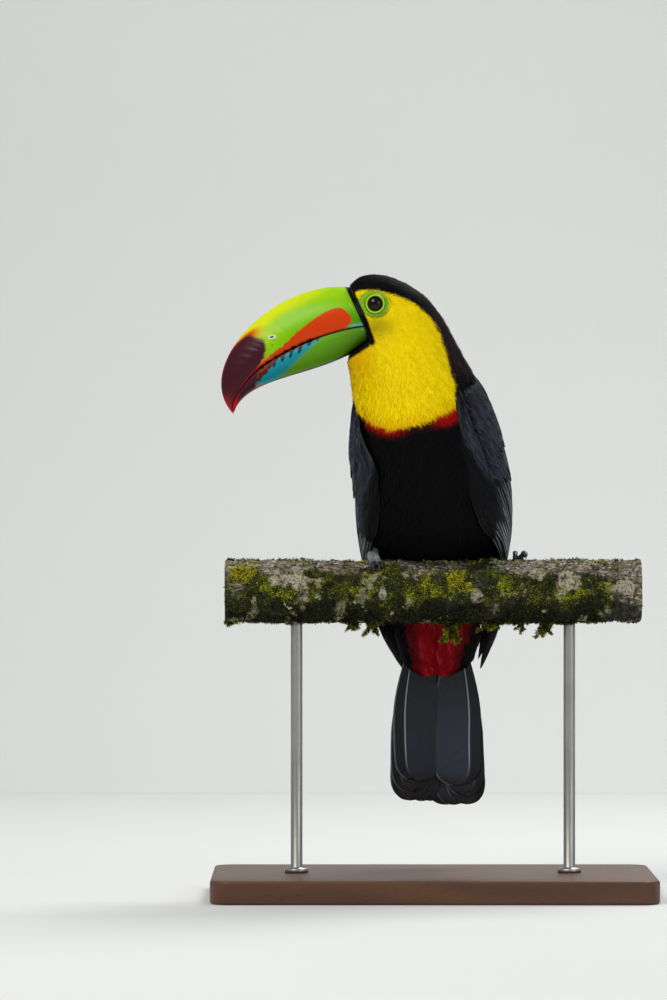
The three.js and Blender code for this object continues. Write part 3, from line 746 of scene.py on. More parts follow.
@functools.cache
def body_surface():
    """
    The skin: fans of rays from the spine meet the solids of flesh, and each point lies nearer
    to the spine than they do by the coat's depth; the eyes' sockets and the bill are bridged.
    Bell curves of the height and of the place along the spine, times powers of a ray's cosine,
    fill out the flanks and the nape and draw in the brow; the mean of neighbours evens out the
    undertail, the face's edge and the corner of the jaw.
    """
    samples = np.linspace(0, 1, NET_ROWS)
    slices = samples[:, None] * STEPS
    origins, first, second = spine_axes(samples)
    angles = round_angles(NET_COLUMNS)
    flesh = solid_triangles("head", "neck", "trunk")
    reach = np.stack([cast_slice(o, a, b, angles, flesh) for o, a, b in zip(origins, first, second)])
    sideways, upright = np.cos(angles)[None], np.sin(angles)[None]
    directions = sideways[..., None] * first[:, None] + upright[..., None] * second[:, None]
    hits = origins[:, None] + reach[..., None] * directions
    for side in SIDES:
        reach[np.linalg.norm(hits - eye_centre(side), axis=-1) < SOCKET * eye_width(side)] = np.nan
    reach[within_bill(hits) > -BILL_MARGIN] = np.nan
    reach = fill_gaps(reach, closed=True)
    reach -= coat_depth(samples)[:, None] / np.linalg.norm(directions, axis=-1)
    level = origins[:, 2:]
    middle, fade = (np.where(sideways > 0, *pair) for pair in (FLANKS["z"], FLANKS["fade"]))
    low_body = samples[:, None] > FLANKS["after"]
    reach = reach + FLANKS["out"] * np.exp(-((level - middle) / fade) ** 2) * low_body * sideways ** 2
    nape = np.exp(-((slices - NAPE["slice"]) / NAPE["fade"]) ** 2) * np.maximum(0, sideways) ** 3
    reach = reach + NAPE["out"] * nape
    even = sum(np.roll(reach, k, axis=1) for k in range(-4, 5)) / 9
    reach = np.where(low_body, even, reach)
    vent = ramp(level, *VENT["z"]) * (samples[:, None] > VENT["after"])
    reach = reach * (1 + VENT["wider"] * vent * sideways ** 2)
    for _ in range(FACE_EDGE["passes"]):
        before, after = rows_beside(reach)
        reach = np.where(slices < FACE_EDGE["slices"], (before + reach + after) / 3, reach)
    reach = reach - BROW["inwards"] * ramp(slices, *BROW["slices"]) * np.maximum(0, sideways) ** 2
    points = origins[:, None] + reach[..., None] * directions
    jaw = np.hypot(points[..., 0] - GONYS[0][0] - JAW["x"], points[..., 2] - GONYS[0][1] - JAW["z"])
    for _ in range(JAW["passes"]):
        before, after = rows_beside(reach)
        even = (before + after + (np.roll(reach, 1, axis=1) + np.roll(reach, -1, axis=1))) / 4
        reach = reach + np.exp(-(jaw / JAW["fade"]) ** 2) * (even - reach)
    return Surface(origins[:, None] + reach[..., None] * directions, closed=True)


# ------------ Markings ------------

# The crown's and nape's black begins this far from the spine towards the outline of the crown
# and nape, as a part of that distance, from the bill's base to the breast: on the side of the
# bill's left, then on the other, where the neck's turn brings the back of the neck round.
BLACK_FROM = [
    (0.66, 0.66), (0.66, 0.66), (0.67, 0.67), (0.73, 0.71), (0.85, 0.80), (0.88, 0.72), (0.79, 0.45),
    (0.68, 0.10), (0.52, -0.40),
]

# The bib's lower edge is lowest at x, rises to the sides by these rates times x squared, and
# rises straight backwards behind y.
BIB = {"x": -0.034, "y": -0.035, "z": 0.3582, "rise_left": 6.6, "rise_right": 22.0, "rise_back": 0.55}


def bib_height(points):
    """How far points lie above the bib's lower edge, a curve like two half parabolas."""
    x, y, z = np.moveaxis(points, -1, 0)
    aside = x - BIB["x"]
    rate = np.where(aside > 0, BIB["rise_left"], BIB["rise_right"])
    edge = BIB["z"] + rate * aside ** 2 + BIB["rise_back"] * np.maximum(0, y - BIB["y"])
    return z - edge


def toward_crown(points, u):
    """How far points lie from the spine along its slices' first axis, as a part of the outline's."""
    samples = np.linspace(0, 1, 181)
    origins, first, _ = spine_axes(samples)
    outline = body_surface().grid(samples, np.array([0.0]))[:, 0]
    reach = np.einsum("ij,ij->i", outline - origins, first)
    at = [np.interp(u, samples, column) for column in (*origins.T, *first.T, reach)]
    offset = sum((points[..., k] - at[k]) * at[3 + k] for k in range(3))
    return offset / at[6]


# Where the plumage's areas fade in: each pair holds where a fade starts and where it is full,
# in metres along x, y or z, or from an area's middle or edge.
FADES = {
    "base_z": (0.458, 0.442), "base": (-3.0 * MM, -2.0 * MM), "bib": (-0.4 * MM, 0.6 * MM),
    "wide_band_x": (-0.006, 0.014), "band_dim": (0.020, 0.005), "band_y": (0.030, 0.010),
    "band_x": (-0.057, -0.051), "vent_z": (0.226, 0.214), "vent_y": (0.050, 0.044),
    "rump_z": (0.262, 0.246), "rump_y": (0.056, 0.062), "rump_x": (0.030, 0.022),
    "hind_low": (0.392, 0.408), "hind_high": (0.462, 0.440), "hind_x": (-0.016, 0.006),
    "amber_low": (0.372, 0.420), "amber_high": (0.448, 0.432), "amber_x": (-0.038, -0.058),
    "amber_edge": (0.012, 0.002),
}
BASE_WIDER = 1.3 * MM    # how much wider the black round the bill's base is at its lower end
BAND = {"width": 3.2, "wider": 6.0, "soft": (4.0 * MM, 2.0 * MM), "dim": 0.90, "dim_x": -0.012}
VENT_PATCH = {"x": 0.0039, "z": 0.182, "lean": 0.10, "half": 0.0195, "widening": 0.25}
RUMP_X = 0.003
# Where the painted shade under the eye lies, and its half widths.
UNDER_EYE_SHADOW = {"x": -0.043, "z": 0.4365, "half_x": 0.011, "half_z": 0.008}


def fade(places, label):
    """The part of a named fade that is reached at places."""
    return ramp(places, *FADES[label])


def markings(points, u, v, plumage, strands=0.0):
    """
    The plumage's colours at points of the body. Each area is a soft mask of the height over the
    bib's edge, of the place round the body, or of the height; strands frays the edges.
    """
    x, y, z = np.moveaxis(points, -1, 0)
    step = np.clip(u * STEPS, 0, len(BLACK_FROM) - 1)
    near, far = np.moveaxis(along_table(BLACK_FROM, step / (len(BLACK_FROM) - 1)), -1, 0)
    start = np.where(v % 1 > 0.5, near, far)
    fray = waves(x, y, z, 3, 2.2 * MM) + strands
    crown = ramp(toward_crown(points, u) + 0.015 * fray, start - 0.02, start + 0.02)
    base = within_bill(points) + 0.2 * MM * fray + BASE_WIDER * fade(z, "base_z")
    crown = np.maximum(crown, fade(base, "base"))
    above = bib_height(points) + 0.7 * MM * fray
    bib = fade(above, "bib") * (1 - crown)
    band_width = (BAND["width"] + BAND["wider"] * fade(x, "wide_band_x")) * MM
    low, high = BAND["soft"]
    band = ramp(above, -band_width - low, -band_width + high) * (1 - crown)
    dim = BAND["dim"] * fade(np.abs(x - BAND["dim_x"]), "band_dim")
    band = band * (1 - dim) * fade(y, "band_y") * fade(x, "band_x")
    rise = z - VENT_PATCH["z"]
    half = VENT_PATCH["half"] + VENT_PATCH["widening"] * rise
    aside = np.abs(x - VENT_PATCH["x"] - VENT_PATCH["lean"] * rise) + 1.2 * MM * fray
    vent = fade(z, "vent_z") * fade(y, "vent_y") * ramp(aside, half + 1.0 * MM, half - 1.5 * MM)
    # Painted light on the undertail: paler streaks along its strands, and painted shade towards its sides.
    streaks = vent * 0.7 * ramp(waves(1.2 * x, y, 0.22 * z, 9, 0.9 * MM), 0.2, 1.1)
    shaded = vent * 0.75 * ramp(aside, 0.45 * half, 1.05 * half)
    rump = fade(z, "rump_z") * fade(y, "rump_y") * fade(np.abs(x - RUMP_X), "rump_x")
    hind = fade(z, "hind_low") * fade(z, "hind_high") * fade(x, "hind_x")
    amber = 0.75 * fade(z, "amber_low") * fade(z, "amber_high") * fade(x, "amber_x")
    amber = np.maximum(amber, 0.45 * fade(above, "amber_edge"))
    # Painted shade: the bib darkens under the eye.
    spot_x = (x - UNDER_EYE_SHADOW["x"]) / UNDER_EYE_SHADOW["half_x"]
    spot_z = (z - UNDER_EYE_SHADOW["z"]) / UNDER_EYE_SHADOW["half_z"]
    under_eye_shadow = 0.60 * np.exp(-spot_x ** 2 - spot_z ** 2)
    shades = [
        (hind * 0.8, plumage.nape), (band, plumage.band), (bib, plumage.yellow),
        (bib * amber, plumage.amber), (bib * under_eye_shadow, plumage.under_eye_shadow), (vent, plumage.vent),
        (streaks, plumage.streak), (shaded, plumage.black), (rump, plumage.rump),
    ]
    mixed = np.broadcast_to(np.array(plumage.black), points.shape).copy()
    for mask, shade in shades:
        mixed += mask[..., None] * (np.array(shade) - mixed)
    return mixed


def with_alpha(colours, alpha=1.0):
    """Colours as the four numbers of a colour attribute."""
    alphas = np.broadcast_to(np.asarray(alpha)[..., None], (*colours.shape[:-1], 1))
    return np.concatenate([colours, alphas], axis=-1).reshape(-1, 4)


# ------------ Coat ------------

# Lengths of the coat, from the bill's base to the undertail: how far a tuft's strands reach,
# half their spread, and the distance from tuft to tuft.
TUFT_LENGTH = np.array([3.2, 4.2, 6.0, 8.0, 10.0, 11.5, 13.0, 12.5, 8.0]) * MM
TUFT_SPREAD = np.array([0.65, 0.9, 1.2, 1.55, 1.9, 2.2, 2.7, 2.7, 2.2]) * MM
TUFT_SPACING = np.array([1.0, 1.15, 1.4, 1.6, 1.9, 2.2, 2.4, 2.4, 2.3]) * MM

# The coat's pieces: their names and where they begin and end, in slices of the spine.
COAT_BANDS = [
    ("head", 0, 2.6), ("cheek", 2.6, 4.6), ("throat", 4.6, 6.4), ("bib", 6.4, 8.2),
    ("breast", 8.2, 10.4), ("belly", 10.4, 13.2), ("vent", 13.2, 18.1),
]
STRANDS = 5
JOINTS = 4
PATCH = 0.003            # a tuft's or covert's patch on the baking map
QUILL_PATCH = 0.02       # a quill's
THIGH_TUFTS = 420
COAT_END = 0.975         # how far along the body the last tufts stand
BARE_PART = 0.90         # how much of the bare skin's oval no tuft stands on or reaches into

# Each leg: its hip, the cuff of its feathering and its foot's joint.
LEGS = {
    "left": {
        "hip": (0.026, 0.027, 0.286), "cuff": (0.043, 0.0235, 0.2575), "joint": (0.0645, 0.019, 0.255)},
    "right": {
        "hip": (-0.026, 0.020, 0.290), "cuff": (-0.041, 0.004, 0.269), "joint": (-0.0455, 0.003, 0.265)},
}


@functools.cache
def thigh_surface(side):
    """A thigh's skin: circles along a bent line, tapering to the cuff as a quarter cosine."""
    hip, cuff = np.array(LEGS[side]["hip"]), np.array(LEGS[side]["cuff"])
    middle = (hip + cuff) / 2 + [0, 0, 1.5 * MM]
    t = np.linspace(0, 1, 16)
    taper = np.maximum(0, np.cos(0.5 * math.pi * t)) ** 0.8 * (0.35 + 0.65 * np.minimum(1, 5 * t))
    radii = (2.6 + 7.6 * taper) * MM
    rings = limb(along_table([hip, middle, cuff], t), radii[:, None], 16, (0, 1, 0))
    return Surface(rings, closed=True, fine=(65, 128), turned=-1)


def by_body(table, u):
    """A table of lengths read at u along the body."""
    return np.interp(u, np.linspace(0, 1, len(table)), table)


def bare_distance(points, side):
    """Distance from the eye in the head's own side plane, 1 at the bare skin's oval rim."""
    centre = eye_centre(side)
    across = (points[..., 0] - centre[0] + BARE["shift"]) / BARE["half_length"]
    up = (points[..., 2] - centre[2] + BARE["drop"]) / BARE["half_height"]
    return np.hypot(across, up)


def covered_by_wings(skin):
    """1 where the wings hide the skin: rays from the spine cross a wing beyond the skin."""
    samples = np.linspace(0, 1, 91)
    origins, first, second = spine_axes(samples)
    angles = round_angles(90)
    names = ("coverts", "primaries", "secondaries")
    wings = solid_triangles(*[f"wing_{side}_{name}" for side in SIDES for name in names])
    slices = zip(origins, first, second)
    crossed = np.stack([~np.isnan(cast_slice(o, a, b, angles, wings)) for o, a, b in slices])
    shrunk = crossed & np.roll(crossed, 2, 1) & np.roll(crossed, -2, 1)
    shrunk = shrunk & np.roll(shrunk, 3, 0) & np.roll(shrunk, -3, 0)
    rows = np.linspace(0, 90, skin.rows).astype(int)
    columns = (np.arange(skin.columns) / skin.columns * 90).astype(int)
    return shrunk[np.ix_(rows, columns)]


def seed_roots(skin, density, count):
    """
    count roots on the skin, as many to an area as density says: two golden-ratio sequences are
    turned into u and v through the running totals of area times density.
    """
    cell = np.linalg.norm(np.cross(skin.by_u, skin.by_v), axis=-1) * density
    total = np.cumsum(cell.sum(axis=1))
    k = np.arange(count)
    first, second = (0.5 + 0.7548776662 * k) % 1, (0.5 + 0.5698402910 * k) % 1
    row = np.interp(first, total / total[-1], np.arange(skin.rows))
    within = np.cumsum(cell, axis=1)
    within = within / np.maximum(within[:, -1:], 1e-30)
    nearest = np.clip(np.round(row).astype(int), 0, skin.rows - 1)
    flat = (within + np.arange(skin.rows)[:, None]).ravel()
    column = np.searchsorted(flat, nearest + second) - nearest * skin.columns
    rng = np.random.default_rng(11)
    return row / (skin.rows - 1), (column + rng.uniform(0, 1, count)) / skin.columns


def strand_grids(skin, u, v, length, spread, depth, turn, rng):
    """
    A fan of ribbons at each root. Across a ribbon j of the fan lies at spread times its place
    in the fan, growing along it; its height is the depth times a quarter wave; its width swells
    and runs out to a point. The tips of a few stand off.
    """
    count = len(u)
    fan = np.linspace(-1, 1, STRANDS)[None, :, None] + rng.normal(0, 0.22, (count, STRANDS, 1))
    s = np.linspace(0, 1, JOINTS)[None, None]
    reach = 1 - 0.22 * fan ** 2 + rng.uniform(-0.16, 0.14, (count, STRANDS, 1))
    shape = (count, 1, 1)
    along = length.reshape(shape) * reach * s
    aside = spread.reshape(shape) * fan * (0.30 + 0.70 * s ** 0.8)
    half = spread.reshape(shape) * 1.3 / STRANDS * ((0.6 + 0.8 * s) * (1 - s ** 2.6) + 0.05)
    layer = rng.uniform(-0.09, 0.06, (count, STRANDS, 1))
    rise = 0.10 + 0.84 * np.sin(np.minimum(1.2 * s, 1) * math.pi / 2) - 0.12 * s ** 3 + layer
    stray = rng.uniform(0, 1, (count, STRANDS, 1)) ** 7 * s ** 2
    height = depth.reshape(shape) * (rise + 0.5 * stray)
    roll = rng.normal(0, 0.30, (count, STRANDS, 1))
    way = np.array([-1.0, 1.0])
    aside = aside[..., None] + way * half[..., None]
    height = height[..., None] + way * (roll * half)[..., None]
    along = np.broadcast_to(along[..., None], aside.shape)
    cosine, sine = (part.reshape(shape + (1,)) for part in (np.cos(turn), np.sin(turn)))
    return skin.lay(u, v, along * cosine - aside * sine, along * sine + aside * cosine, height)


def strand_patches(u, v):
    """Each tuft's patch on the baking map, at its root's place on the skin's own unwrap."""
    s, way = np.linspace(0, 1, JOINTS), np.array([0.0, 1.0])
    across = (np.arange(STRANDS)[:, None, None] + way) / STRANDS
    local = np.stack(np.broadcast_arrays(s[None, :, None], across), axis=-1) - 0.5
    root = 0.002 + 0.996 * np.stack([u, v % 1], axis=-1)
    return root[:, None, None, None] + PATCH * local


def coat_pieces(skin, plumage, finish):
    """The tufts over the skin, in bands from the head to the vent, before and behind."""
    us = np.linspace(0, 1, skin.rows)
    density = np.broadcast_to(1 / by_body(TUFT_SPACING, us)[:, None] ** 2, skin.points.shape[:2]).copy()
    density[covered_by_wings(skin)] = 0
    ahead = 0.8 * by_body(TUFT_LENGTH, us)[:, None] / np.linalg.norm(skin.by_u, axis=-1)
    tips = skin.read(skin.points, us[:, None] + ahead, np.arange(skin.columns) / skin.columns + 0 * ahead)
    for side, way in SIDES.items():
        own_side = (HEAD_MIDDLE - skin.points[..., 1]) * way > 0
        near = np.minimum(bare_distance(skin.points, side), bare_distance(tips, side) + 0.06)
        density[(near < BARE_PART) & own_side & (us[:, None] * STEPS < HEAD_SLICES)] = 0
    density[within_bill(skin.points) > -1.0 * MM] = 0
    density[us > COAT_END] = 0
    u, v = seed_roots(skin, density, plumage.tufts)
    rng = np.random.default_rng(5)
    length = by_body(TUFT_LENGTH, u) * rng.uniform(0.85, 1.15, len(u))
    spread = by_body(TUFT_SPREAD, u)
    turn = rng.normal(0, plumage.softness, len(u))
    end_u = u + length / np.linalg.norm(skin.read(skin.by_u, u, v), axis=-1)
    for band, start, end in COAT_BANDS:
        for label, back in (("front", False), ("back", True)):
            inside = (u * STEPS >= start) & (u * STEPS < end) & ((v % 1 < 0.5) == back)
            u0, v0, u1, reach, half, lean = (every[inside] for every in (u, v, end_u, length, spread, turn))
            points, normals = strand_grids(skin, u0, v0, reach, half, coat_depth(u0), lean, rng)
            strays = rng.normal(0, 1.0, (len(u0), STRANDS, 1))
            strand_u = (u0 + (u1 - u0) * np.linspace(0.1, 1, JOINTS)[:, None]).T[:, None] + 0 * strays
            tint = markings(points.mean(axis=3), strand_u, v0[:, None, None], plumage, strays)
            coat_piece(f"coat_{band}_{label}", skin, u0, v0, points, normals, tint, finish, rng)
    for side in SIDES:
        leg = thigh_surface(side)
        u, v = seed_roots(leg, np.ones(leg.points.shape[:2]), THIGH_TUFTS)
        own = np.ones(THIGH_TUFTS)
        points, normals = strand_grids(
            leg, u, v, 8 * MM * own, 1.8 * MM * own, 2.6 * MM * (1 - 0.6 * u),
            rng.normal(0, plumage.softness, THIGH_TUFTS), rng)
        tint = np.broadcast_to(np.array(plumage.black), (THIGH_TUFTS, STRANDS, JOINTS, 3))
        coat_piece(f"coat_thigh_{side}", leg, u, v, points, normals, tint, finish, rng)


def coat_piece(name, skin, u, v, points, normals, tint, finish, rng):
    """One mesh of tufts, with painted shade at their roots, and strands of slightly different shades."""
    normals = unit(normals + rng.normal(0, 0.06, (len(u), STRANDS, 1, 1, 3)))
    shade = rng.uniform(0.94, 1.05, (len(u), STRANDS, 1, 1, 1))
    shade = shade * rng.uniform(0.95, 1.05, (len(u), 1, 1, 1, 1))
    # Painted shade: each strand darker towards its root, under the tufts that lie over it.
    tip = np.linspace(0.90, 1.03, JOINTS)[:, None, None]
    colours = np.broadcast_to(tint[:, :, :, None] * shade * tip, points.shape)
    faces = many_faces(skin.outward(grid_faces(JOINTS, 2)), 2 * JOINTS, len(u) * STRANDS)
    make_piece(
        name, (points, faces, ()), finish,
        marks={"Tint": with_alpha(colours)}, maps={"OFBake": strand_patches(u, v)}, normals=normals)


def plumage_finish():
    """Soft feathers: the tint of each strand, with fine darker streaks."""
    finish = Finish("plumage", Roughness=0.62, Specular_IOR_Level=0.08)
    streak = finish.noise(700, 2)
    finish.feed("Base Color", finish.blend(
        streak.ramp(0.35, 0.75) * 0.05, finish.paint("Tint"), "feather streak"))
    return finish.material


# ------------ Wings and tail ------------

# The trunk's axis leans back, rolls to +X and turns by these degrees, and passes this point.
TRUNK = {"lean": 19, "roll": 4.1, "turn": 7, "x": 2.4 * MM, "y": 22.5 * MM, "z": 266 * MM}

# Slices of a folded wing in millimetres and degrees: the axis's height, half the width over both
# wings, the depths before and behind the axis, and the angles from the breast at which it
# begins and ends.
WING_ROWS = np.array([
    (402, 40.0, 42, 38, 60, 112), (396, 45.5, 50, 45, 50, 122), (380, 53.0, 60, 55, 42, 132),
    (352, 58.8, 66, 60, 38, 143), (320, 61.0, 66, 58, 41, 153), (290, 60.2, 60, 52, 51, 162),
    (265, 57.2, 46, 43, 73, 166), (250, 54.8, 38, 37, 87, 164), (225, 51.2, 30, 29, 89, 153),
    (205, 47.2, 24, 22, 90, 146), (188, 41.6, 18, 16, 92, 146), (168, 34.2, 12, 12, 97, 148),
])

# How far the wings lie inside their slices, in millimetres, by the axis's height.
INSET = {
    "z": (240, 266, 288, 309, 322, 336, 350, 363, 382, 400),
    "left": (0.8, -0.3, -1.1, -0.3, 1.6, 3.2, 5.0, 6.3, 8.8, 7.7),
    "right": (-1.6, -0.6, 0.8, 1.6, 1.8, 0.7, -0.4, -0.9, 0.2, 0.2),
}


def furrow_place(z):
    """Where the furrow behind the wing's front fold lies, as a part of the way to its back."""
    return np.interp(z, [300, 331, 350, 367, 385, 402], [0.20, 0.19, 0.176, 0.15, 0.10, 0.08])


def dark_front(z):
    """How far back from the wing's front edge its feathers are black."""
    return np.interp(z, [168, 258, 290, 324, 331, 352, 375], [0.0, 0.0, 0.10, 0.16, 0.11, 0.043, -0.03])


def wing_tint(z, s, fore, plumage, rng, shape):
    """
    The wings' colours and the strength of their feathers' painted edge highlights: black at the
    front and the shoulder's top, painted shade in the furrow, and between them a painted blue-grey
    sheen over the black, which begins nearer to the front by fore.
    """
    # Painted light: a blue-grey sheen over the black wing, weaker at the shoulder's top, low down and towards
    # the back.
    lit = ramp(s + fore, dark_front(z) - 0.01, dark_front(z) + 0.03)
    painted_sheen = lit * ramp(z, 394, 368) * (0.45 + 0.55 * ramp(z, 290, 335)) * (1 - 0.5 * ramp(s, 0.55, 0.8))
    # Painted shade in the furrow behind the front fold.
    painted_sheen = painted_sheen * (1 - 0.96 * np.exp(-((s - furrow_place(z)) / 0.028) ** 2) * ramp(z, 285, 318))
    black, quill = np.array(plumage.black), np.array(plumage.quill)
    tints = black + (quill - black) * painted_sheen[..., None] * rng.uniform(0.35, 1.65, shape)[..., None]
    # Painted highlight: how strongly the feathers' edges are lit.
    edge_highlight = np.maximum(lit, 0.45 * ramp(z, 318, 290))
    return tints, 0.06 + 0.94 * edge_highlight * ramp(s, 0.62, 0.45)


# How a wing's surface dips, in millimetres: at the shoulder between two heights, to its front
# and back edges from a part of the way across, and in a furrow behind the fold of its front,
# beside a bundle that stands up; and how the right wing is wider and starts further back.
SHOULDER = {"dip": 7, "z": (386, 403)}
WING_EDGES = {"front": (2.2, 0.035), "back": (1.2, 0.97)}
FOLD = {"z": (305, 330), "furrow": (4.4, 0.022), "bundle": (2.2, 0.045)}
RIGHT_WING = {"wider": 4, "wider_z": (365, 398), "later": 27, "later_z": (348, 372)}


def wing_surface(side):
    """
    A folded wing's outside: ellipses about the trunk's axis between two angles. It dips into
    the shoulder at its top and to the breast at its front, and a furrow parts the fold of its
    front edge from the rest, each by a smooth step or a bell curve.
    """
    way = SIDES[side]
    z, half, front, back, start, end = along_table(WING_ROWS, np.linspace(0, 1, 56)).T[..., None]
    if way < 0:
        half = half + RIGHT_WING["wider"] * ramp(z, *RIGHT_WING["wider_z"])
        start = start + RIGHT_WING["later"] * ramp(z, *RIGHT_WING["later_z"])
    s = np.linspace(0, 1, 110)[None]
    angle = np.radians(start + (end - start) * s)
    furrow = furrow_place(z)
    bundle = 0.5 * (furrow + dark_front(z))
    fold = ramp(z, *FOLD["z"])
    (front_dip, front_edge), (back_dip, back_edge) = WING_EDGES["front"], WING_EDGES["back"]
    (furrow_dip, furrow_half), (bundle_rise, bundle_half) = FOLD["furrow"], FOLD["bundle"]
    inset = SHOULDER["dip"] * ramp(z, *SHOULDER["z"])
    inset = inset + front_dip * ramp(s, front_edge, 0.0) + back_dip * ramp(s, back_edge, 1.0)
    inset = inset + np.interp(z, INSET["z"], INSET[side])
    inset = inset + fold * furrow_dip * np.exp(-((s - furrow) / furrow_half) ** 2)
    inset = inset - fold * bundle_rise * np.exp(-((s - bundle) / bundle_half) ** 2)
    lean, roll, turn = (math.radians(TRUNK[label]) for label in ("lean", "roll", "turn"))
    across = way * (half - inset) * np.sin(angle)
    behind = -np.cos(angle) * (np.where(np.cos(angle) > 0, front, back) - inset) * math.cos(lean)
    drop = TRUNK["z"] / MM - z
    x = TRUNK["x"] / MM + drop * math.tan(roll) + across * math.cos(turn) + behind * math.sin(turn)
    y = TRUNK["y"] / MM + drop * math.tan(lean) - across * math.sin(turn) + behind * math.cos(turn)
    height = z + across * math.tan(roll) + behind * math.tan(lean)
    return Surface(np.stack([x, y, height], axis=-1) * MM, closed=False, fine=(200, 200), turned=way)


class Feathers:
    """Flat feathers gathered into one mesh, with the maps that their finish reads."""

    def __init__(self):
        self.points, self.faces, self.tints, self.maps = [], [], [], {"Vane": [], "Barb": [], "OFBake": []}
        self.start = 0

    def add(self, points, along, across, reach, half, tint, patches, face):
        """
        Grids of feathers: along (0 to 1) and across (-1 to 1) are each point's place on its
        vane, reach and half its feather's length and half width, tint the colours and the strengths
        of the painted edge highlights, patches the middles and the size of their patches on the baking
        map, and face the quads of one grid.
        the quads of one grid.
        """
        count, size = len(points), np.broadcast(along, across).size
        self.points.append(points.reshape(-1, 3))
        self.faces.append(many_faces(face, size, count) + self.start)
        self.start += count * size
        self.tints.append(tint)
        vane = np.stack(np.broadcast_arrays(along, across * 0.5 + 0.5), axis=-1).reshape(1, size, 2)
        shape = (count, size)
        self.maps["Vane"].append(np.broadcast_to(vane, (*shape, 2)).reshape(-1, 2))
        lengths = np.stack([np.broadcast_to(reach, count), 2 * np.broadcast_to(half, count)], axis=-1)
        self.maps["Barb"].append(((vane - [0, 0.5]) * lengths[:, None]).reshape(-1, 2))
        middles, width = patches
        self.maps["OFBake"].append((middles[:, None] + width * (vane - 0.5)).reshape(-1, 2))

    def piece(self, name, finish, slot, replaced=()):
        """Makes the feathers one piece."""
        shape = (np.concatenate(self.points), np.concatenate(self.faces), ())
        maps = {label: np.concatenate(parts) for label, parts in self.maps.items()}
        make_piece(name, shape, finish, replaced, {"Tint": np.concatenate(self.tints)}, maps)


def vane_width(x, blunt):
    """A vane's half width at x along it: it widens from the root, and ends round if blunt is high."""
    root = 0.45
    taper = (1 - np.maximum(0, (x - 0.72) / 0.28) ** blunt) ** (1.3 / blunt)
    return (root + (1 - root) * ramp(x, 0, 0.4)) * taper


TIP_STRAY = 0.008        # how much vanes' tips stray along the wing
VANE_WAVE = 0.12 * MM    # how much a vane waves from side to side
VANE_LIFT = 0.12 * MM    # how much vanes differ in their height over the surface


def lay_vanes(feathers, surface, row, plumage, rng, patch):
    """
    A tract's feathers on a surface. A feather's middle line runs from its root to its tip in a
    slight bow; across it the points lie at its half width times vane_width; its height is level +
    rise x - tilt c - camber c^2 at x along and c across, with small waves.
    """
    count = len(row["root_z"])
    rows, columns = row["grid"]
    x = (1 - (1 - np.linspace(0, 1, rows)) ** 1.5)[None, :, None]
    c = np.linspace(-1, 1, columns)[None, None]
    each = {
        label: np.broadcast_to(value, count)[:, None, None]
        for label, value in row.items() if label != "grid"}
    knots = np.linspace(0, 1, len(WING_ROWS))
    u0, u1 = (np.interp(-each[label] / MM, -WING_ROWS[:, 0], knots) for label in ("root_z", "tip_z"))
    u1 = u1 + rng.normal(0, TIP_STRAY, u1.shape) * (u1 < 0.75)
    u = u0 + (u1 - u0) * x
    v = each["root_s"] + (each["tip_s"] - each["root_s"]) * x + each["bow"] * x * (1 - x)
    unit_v = np.linalg.norm(surface.read(surface.by_v, u + 0 * c, v + 0 * c), axis=-1)
    half = each["half"] * vane_width(x, row["blunt"])
    edge = 1 + 0.05 * np.sin(x * 37 + 9 * rng.uniform(0, 7, (count, 1, 1))) * (np.abs(c) > 0.9)
    height = each["level"] + each["rise"] * x - each["tilt"] * c - each["camber"] * c ** 2
    height = height + VANE_WAVE * np.sin(5 * x + rng.uniform(0, 7, (count, 1, 1))) * c
    lift = rng.normal(0, VANE_LIFT, (count, 1, 1))
    points = surface.over(u, v + c * half * edge / unit_v, height + lift)
    middles = 0.01 + 0.98 * np.stack([u0[:, 0, 0], np.clip(each["root_s"][:, 0, 0], 0, 1)], axis=-1)
    reach = np.linalg.norm(points[:, -1, columns // 2] - points[:, 0, columns // 2], axis=-1)
    face = surface.outward(grid_faces(rows, columns))
    heights = np.interp(u + 0 * c, knots, WING_ROWS[:, 0])
    fore = 0.06 if surface.turned < 0 else 0
    colours, edges = wing_tint(heights, v + c * half / unit_v, fore, plumage, rng, (count, 1, 1))
    # Painted shade: each vane darker towards its root and along the side that lies under the next vane.
    shade = (0.30 + 0.85 * ramp(x, 0.10, 0.85)) * (1 - 0.82 * ramp(c, -0.3, 0.9))
    tints = with_alpha(colours * shade[..., None], edges)
    feathers.add(points, x[0], c[0], reach, each["half"][:, 0, 0], tints, (middles, patch), face)


